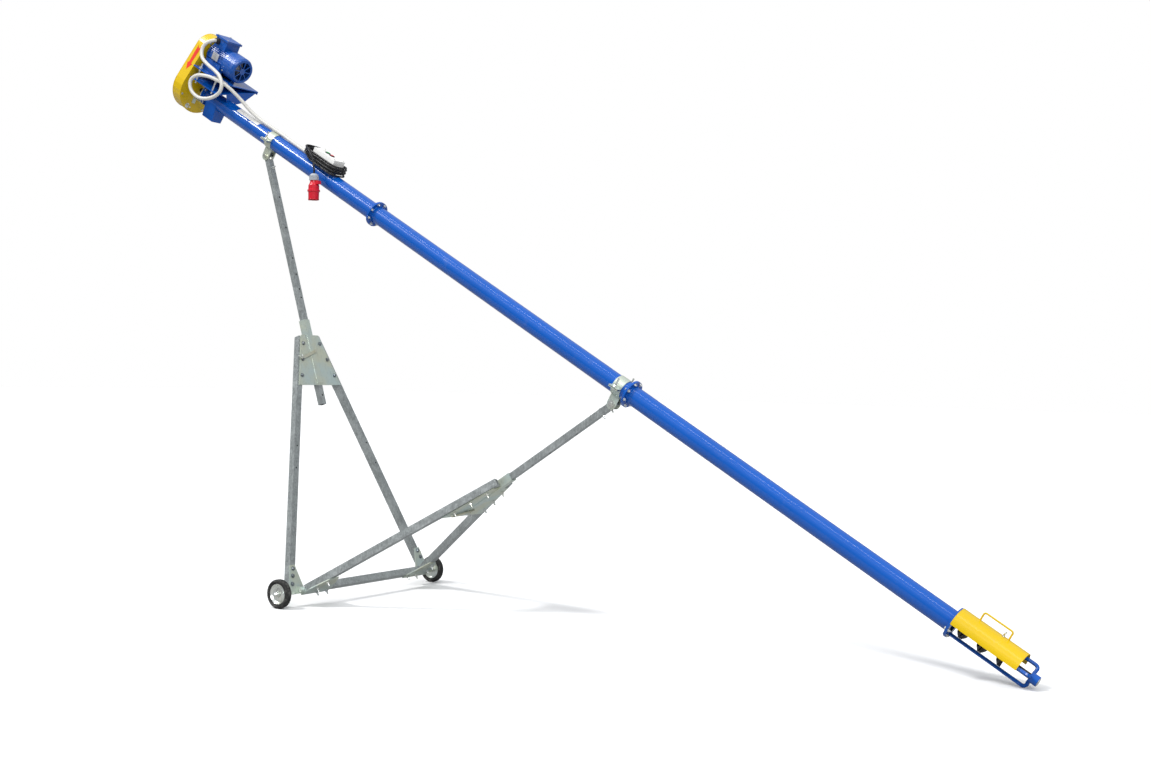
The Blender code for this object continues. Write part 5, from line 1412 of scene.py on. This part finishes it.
class AUGER_OT_stage(bpy.types.Operator):
    """Pale floor, soft lights and the camera"""

    bl_idname = "auger.stage"
    bl_label = "Studio"

    def execute(self, context):
        stage = context.scene.auger_stage
        self.floor(stage)
        self.world(context, stage)
        self.lights(stage)
        self.camera(context, stage)
        context.scene.view_settings.view_transform = "Standard"
        return {"FINISHED"}

    def floor(self, stage):
        bm = bmesh.new()
        bmesh.ops.create_grid(bm, x_segments=2, y_segments=2, size=FLOOR_HALF)
        data = bpy.data.meshes.new("studio_floor")
        bm.to_mesh(data)
        bm.free()
        finish = Finish("studio_floor", tuple(stage.floor), 0.9)
        seen = finish.node("ShaderNodeLightPath", {}, {}, "Is Camera Ray")
        finish.colour(finish.mix(seen, shade(tuple(stage.floor), BOUNCE), tuple(stage.floor)))
        data.materials.append(finish.material)
        obj = linked("studio_floor", data)
        obj.location.z = -0.0005

    def world(self, context, stage):
        """Light that grows from the horizon up; the camera itself sees plain white."""
        world = bpy.data.worlds.new("studio")
        world.use_nodes = True
        tree = world.node_tree
        where = add_node(tree, "ShaderNodeTexCoord", {}, {}, "Generated")
        height = add_node(tree, "ShaderNodeSeparateXYZ", {}, {0: where}, "Z")
        span = {"From Min": 0.0, "From Max": 0.7, "To Min": stage.ambient * 0.25, "To Max": stage.ambient * 1.6}
        fade = add_node(tree, "ShaderNodeMapRange", {}, {"Value": height, **span})
        sky = add_node(tree, "ShaderNodeBackground", {}, {"Color": (0.95, 0.97, 1.0), "Strength": fade})
        white = add_node(tree, "ShaderNodeBackground", {}, {"Color": (1, 1, 1)})
        seen = add_node(tree, "ShaderNodeLightPath", {}, {}, "Is Camera Ray")
        blend = add_node(tree, "ShaderNodeMixShader", {}, {0: seen, 1: sky, 2: white})
        tree.nodes.remove(tree.nodes["Background"])
        tree.links.new(blend, tree.nodes["World Output"].inputs[0])
        context.scene.world = world

    def lights(self, stage):
        for name, towards, spread, strength in (
            ("overhead", (-0.42, -0.45, 0.79), 12, stage.overhead),
            ("front", (0.55, -0.65, 0.50), 25, stage.front),
        ):
            data = bpy.data.lights.new(name, "SUN")
            data.angle = radians(spread)
            data.energy = strength
            obj = linked(name, data)
            obj.rotation_euler = Vector(towards).to_track_quat("Z", "Y").to_euler()
        # Two long strips of light, level with the auger's slope, draw the lines of gloss along its paint.
        for name, outward, width, power in (
            ("upper_strip", (0.4745, -0.280, 0.835), 0.16, stage.strip),
            ("front_strip", (0.327, -0.745, 0.580), 0.06, stage.strip * 0.22),
        ):
            data = bpy.data.lights.new(name, "AREA")
            data.shape = "RECTANGLE"
            data.size = STRIP_LENGTH
            data.size_y = width
            data.energy = power
            obj = linked(name, data)
            along = LINE.to_3x3() @ Vector((1, 0, 0))
            facing = (Vector(outward) - along * along.dot(Vector(outward))).normalized()
            rows = Matrix((along, facing.cross(along), facing)).transposed()
            obj.matrix_world = Matrix.Translation(LINE @ STRIP_MIDDLE + facing * STRIP_DISTANCE) @ rows.to_4x4()

    def camera(self, context, stage):
        data = bpy.data.cameras.new("camera")
        data.sensor_width = 36
        data.lens = stage.lens
        data.clip_end = 200
        yaw, pitch, roll = (radians(a) for a in (CAMERA_YAW, CAMERA_PITCH, CAMERA_ROLL))
        forward = Vector((sin(yaw) * cos(pitch), cos(yaw) * cos(pitch), sin(pitch)))
        right = forward.cross(Vector((0, 0, 1))).normalized()
        up = right.cross(forward)
        right, up = right * cos(roll) + up * sin(roll), up * cos(roll) - right * sin(roll)
        rows = Matrix((right, up, -forward)).transposed()
        obj = linked("camera", data)
        obj.matrix_world = Matrix.Translation(CAMERA_FROM_AXLE + Vector((AXLE.x, 0, 0))) @ rows.to_4x4()
        context.scene.camera = obj


class AUGER_PT_panel(bpy.types.Panel):
    """Lists the steps that dress the auger"""

    bl_idname = "AUGER_PT_panel"
    bl_label = "Grain auger"
    bl_space_type = "VIEW_3D"
    bl_region_type = "UI"
    bl_category = "Grain auger"

    def draw(self, context):
        for name, group in SETTINGS.items():
            column = self.layout.column()
            for key in group.__annotations__:
                column.prop(getattr(context.scene, name), key)
        for operator in OPERATORS:
            self.layout.operator(operator.bl_idname)


SETTINGS = {
    "auger_finish": AugerFinishSettings,
    "auger_fitting": AugerFittingSettings,
    "auger_cord": AugerCordSettings,
    "auger_stage": AugerStageSettings,
}
OPERATORS = (
    AUGER_OT_finish_frame,
    AUGER_OT_stage,
    AUGER_OT_supply_cable,
    AUGER_OT_conduit,
    AUGER_OT_tube_joints,
    AUGER_OT_motor,
    AUGER_OT_guard,
    AUGER_OT_clamps,
    AUGER_OT_carriage,
    AUGER_OT_wheels,
    AUGER_OT_switch_box,
    AUGER_OT_plug,
    AUGER_OT_intake,
    AUGER_OT_stickers,
)


def register():
    for group in SETTINGS.values():
        bpy.utils.register_class(group)
    for operator in OPERATORS:
        bpy.utils.register_class(operator)
    bpy.utils.register_class(AUGER_PT_panel)
    for name, group in SETTINGS.items():
        setattr(bpy.types.Scene, name, PointerProperty(type=group))


def unregister():
    for name in SETTINGS:
        delattr(bpy.types.Scene, name)
    for cls in (AUGER_PT_panel, *reversed(OPERATORS), *reversed(list(SETTINGS.values()))):
        bpy.utils.unregister_class(cls)


def main():
    register()
    for operator in OPERATORS:
        family, name = operator.bl_idname.split(".")
        getattr(getattr(bpy.ops, family), name)()


if __name__ == "__main__":
    main()
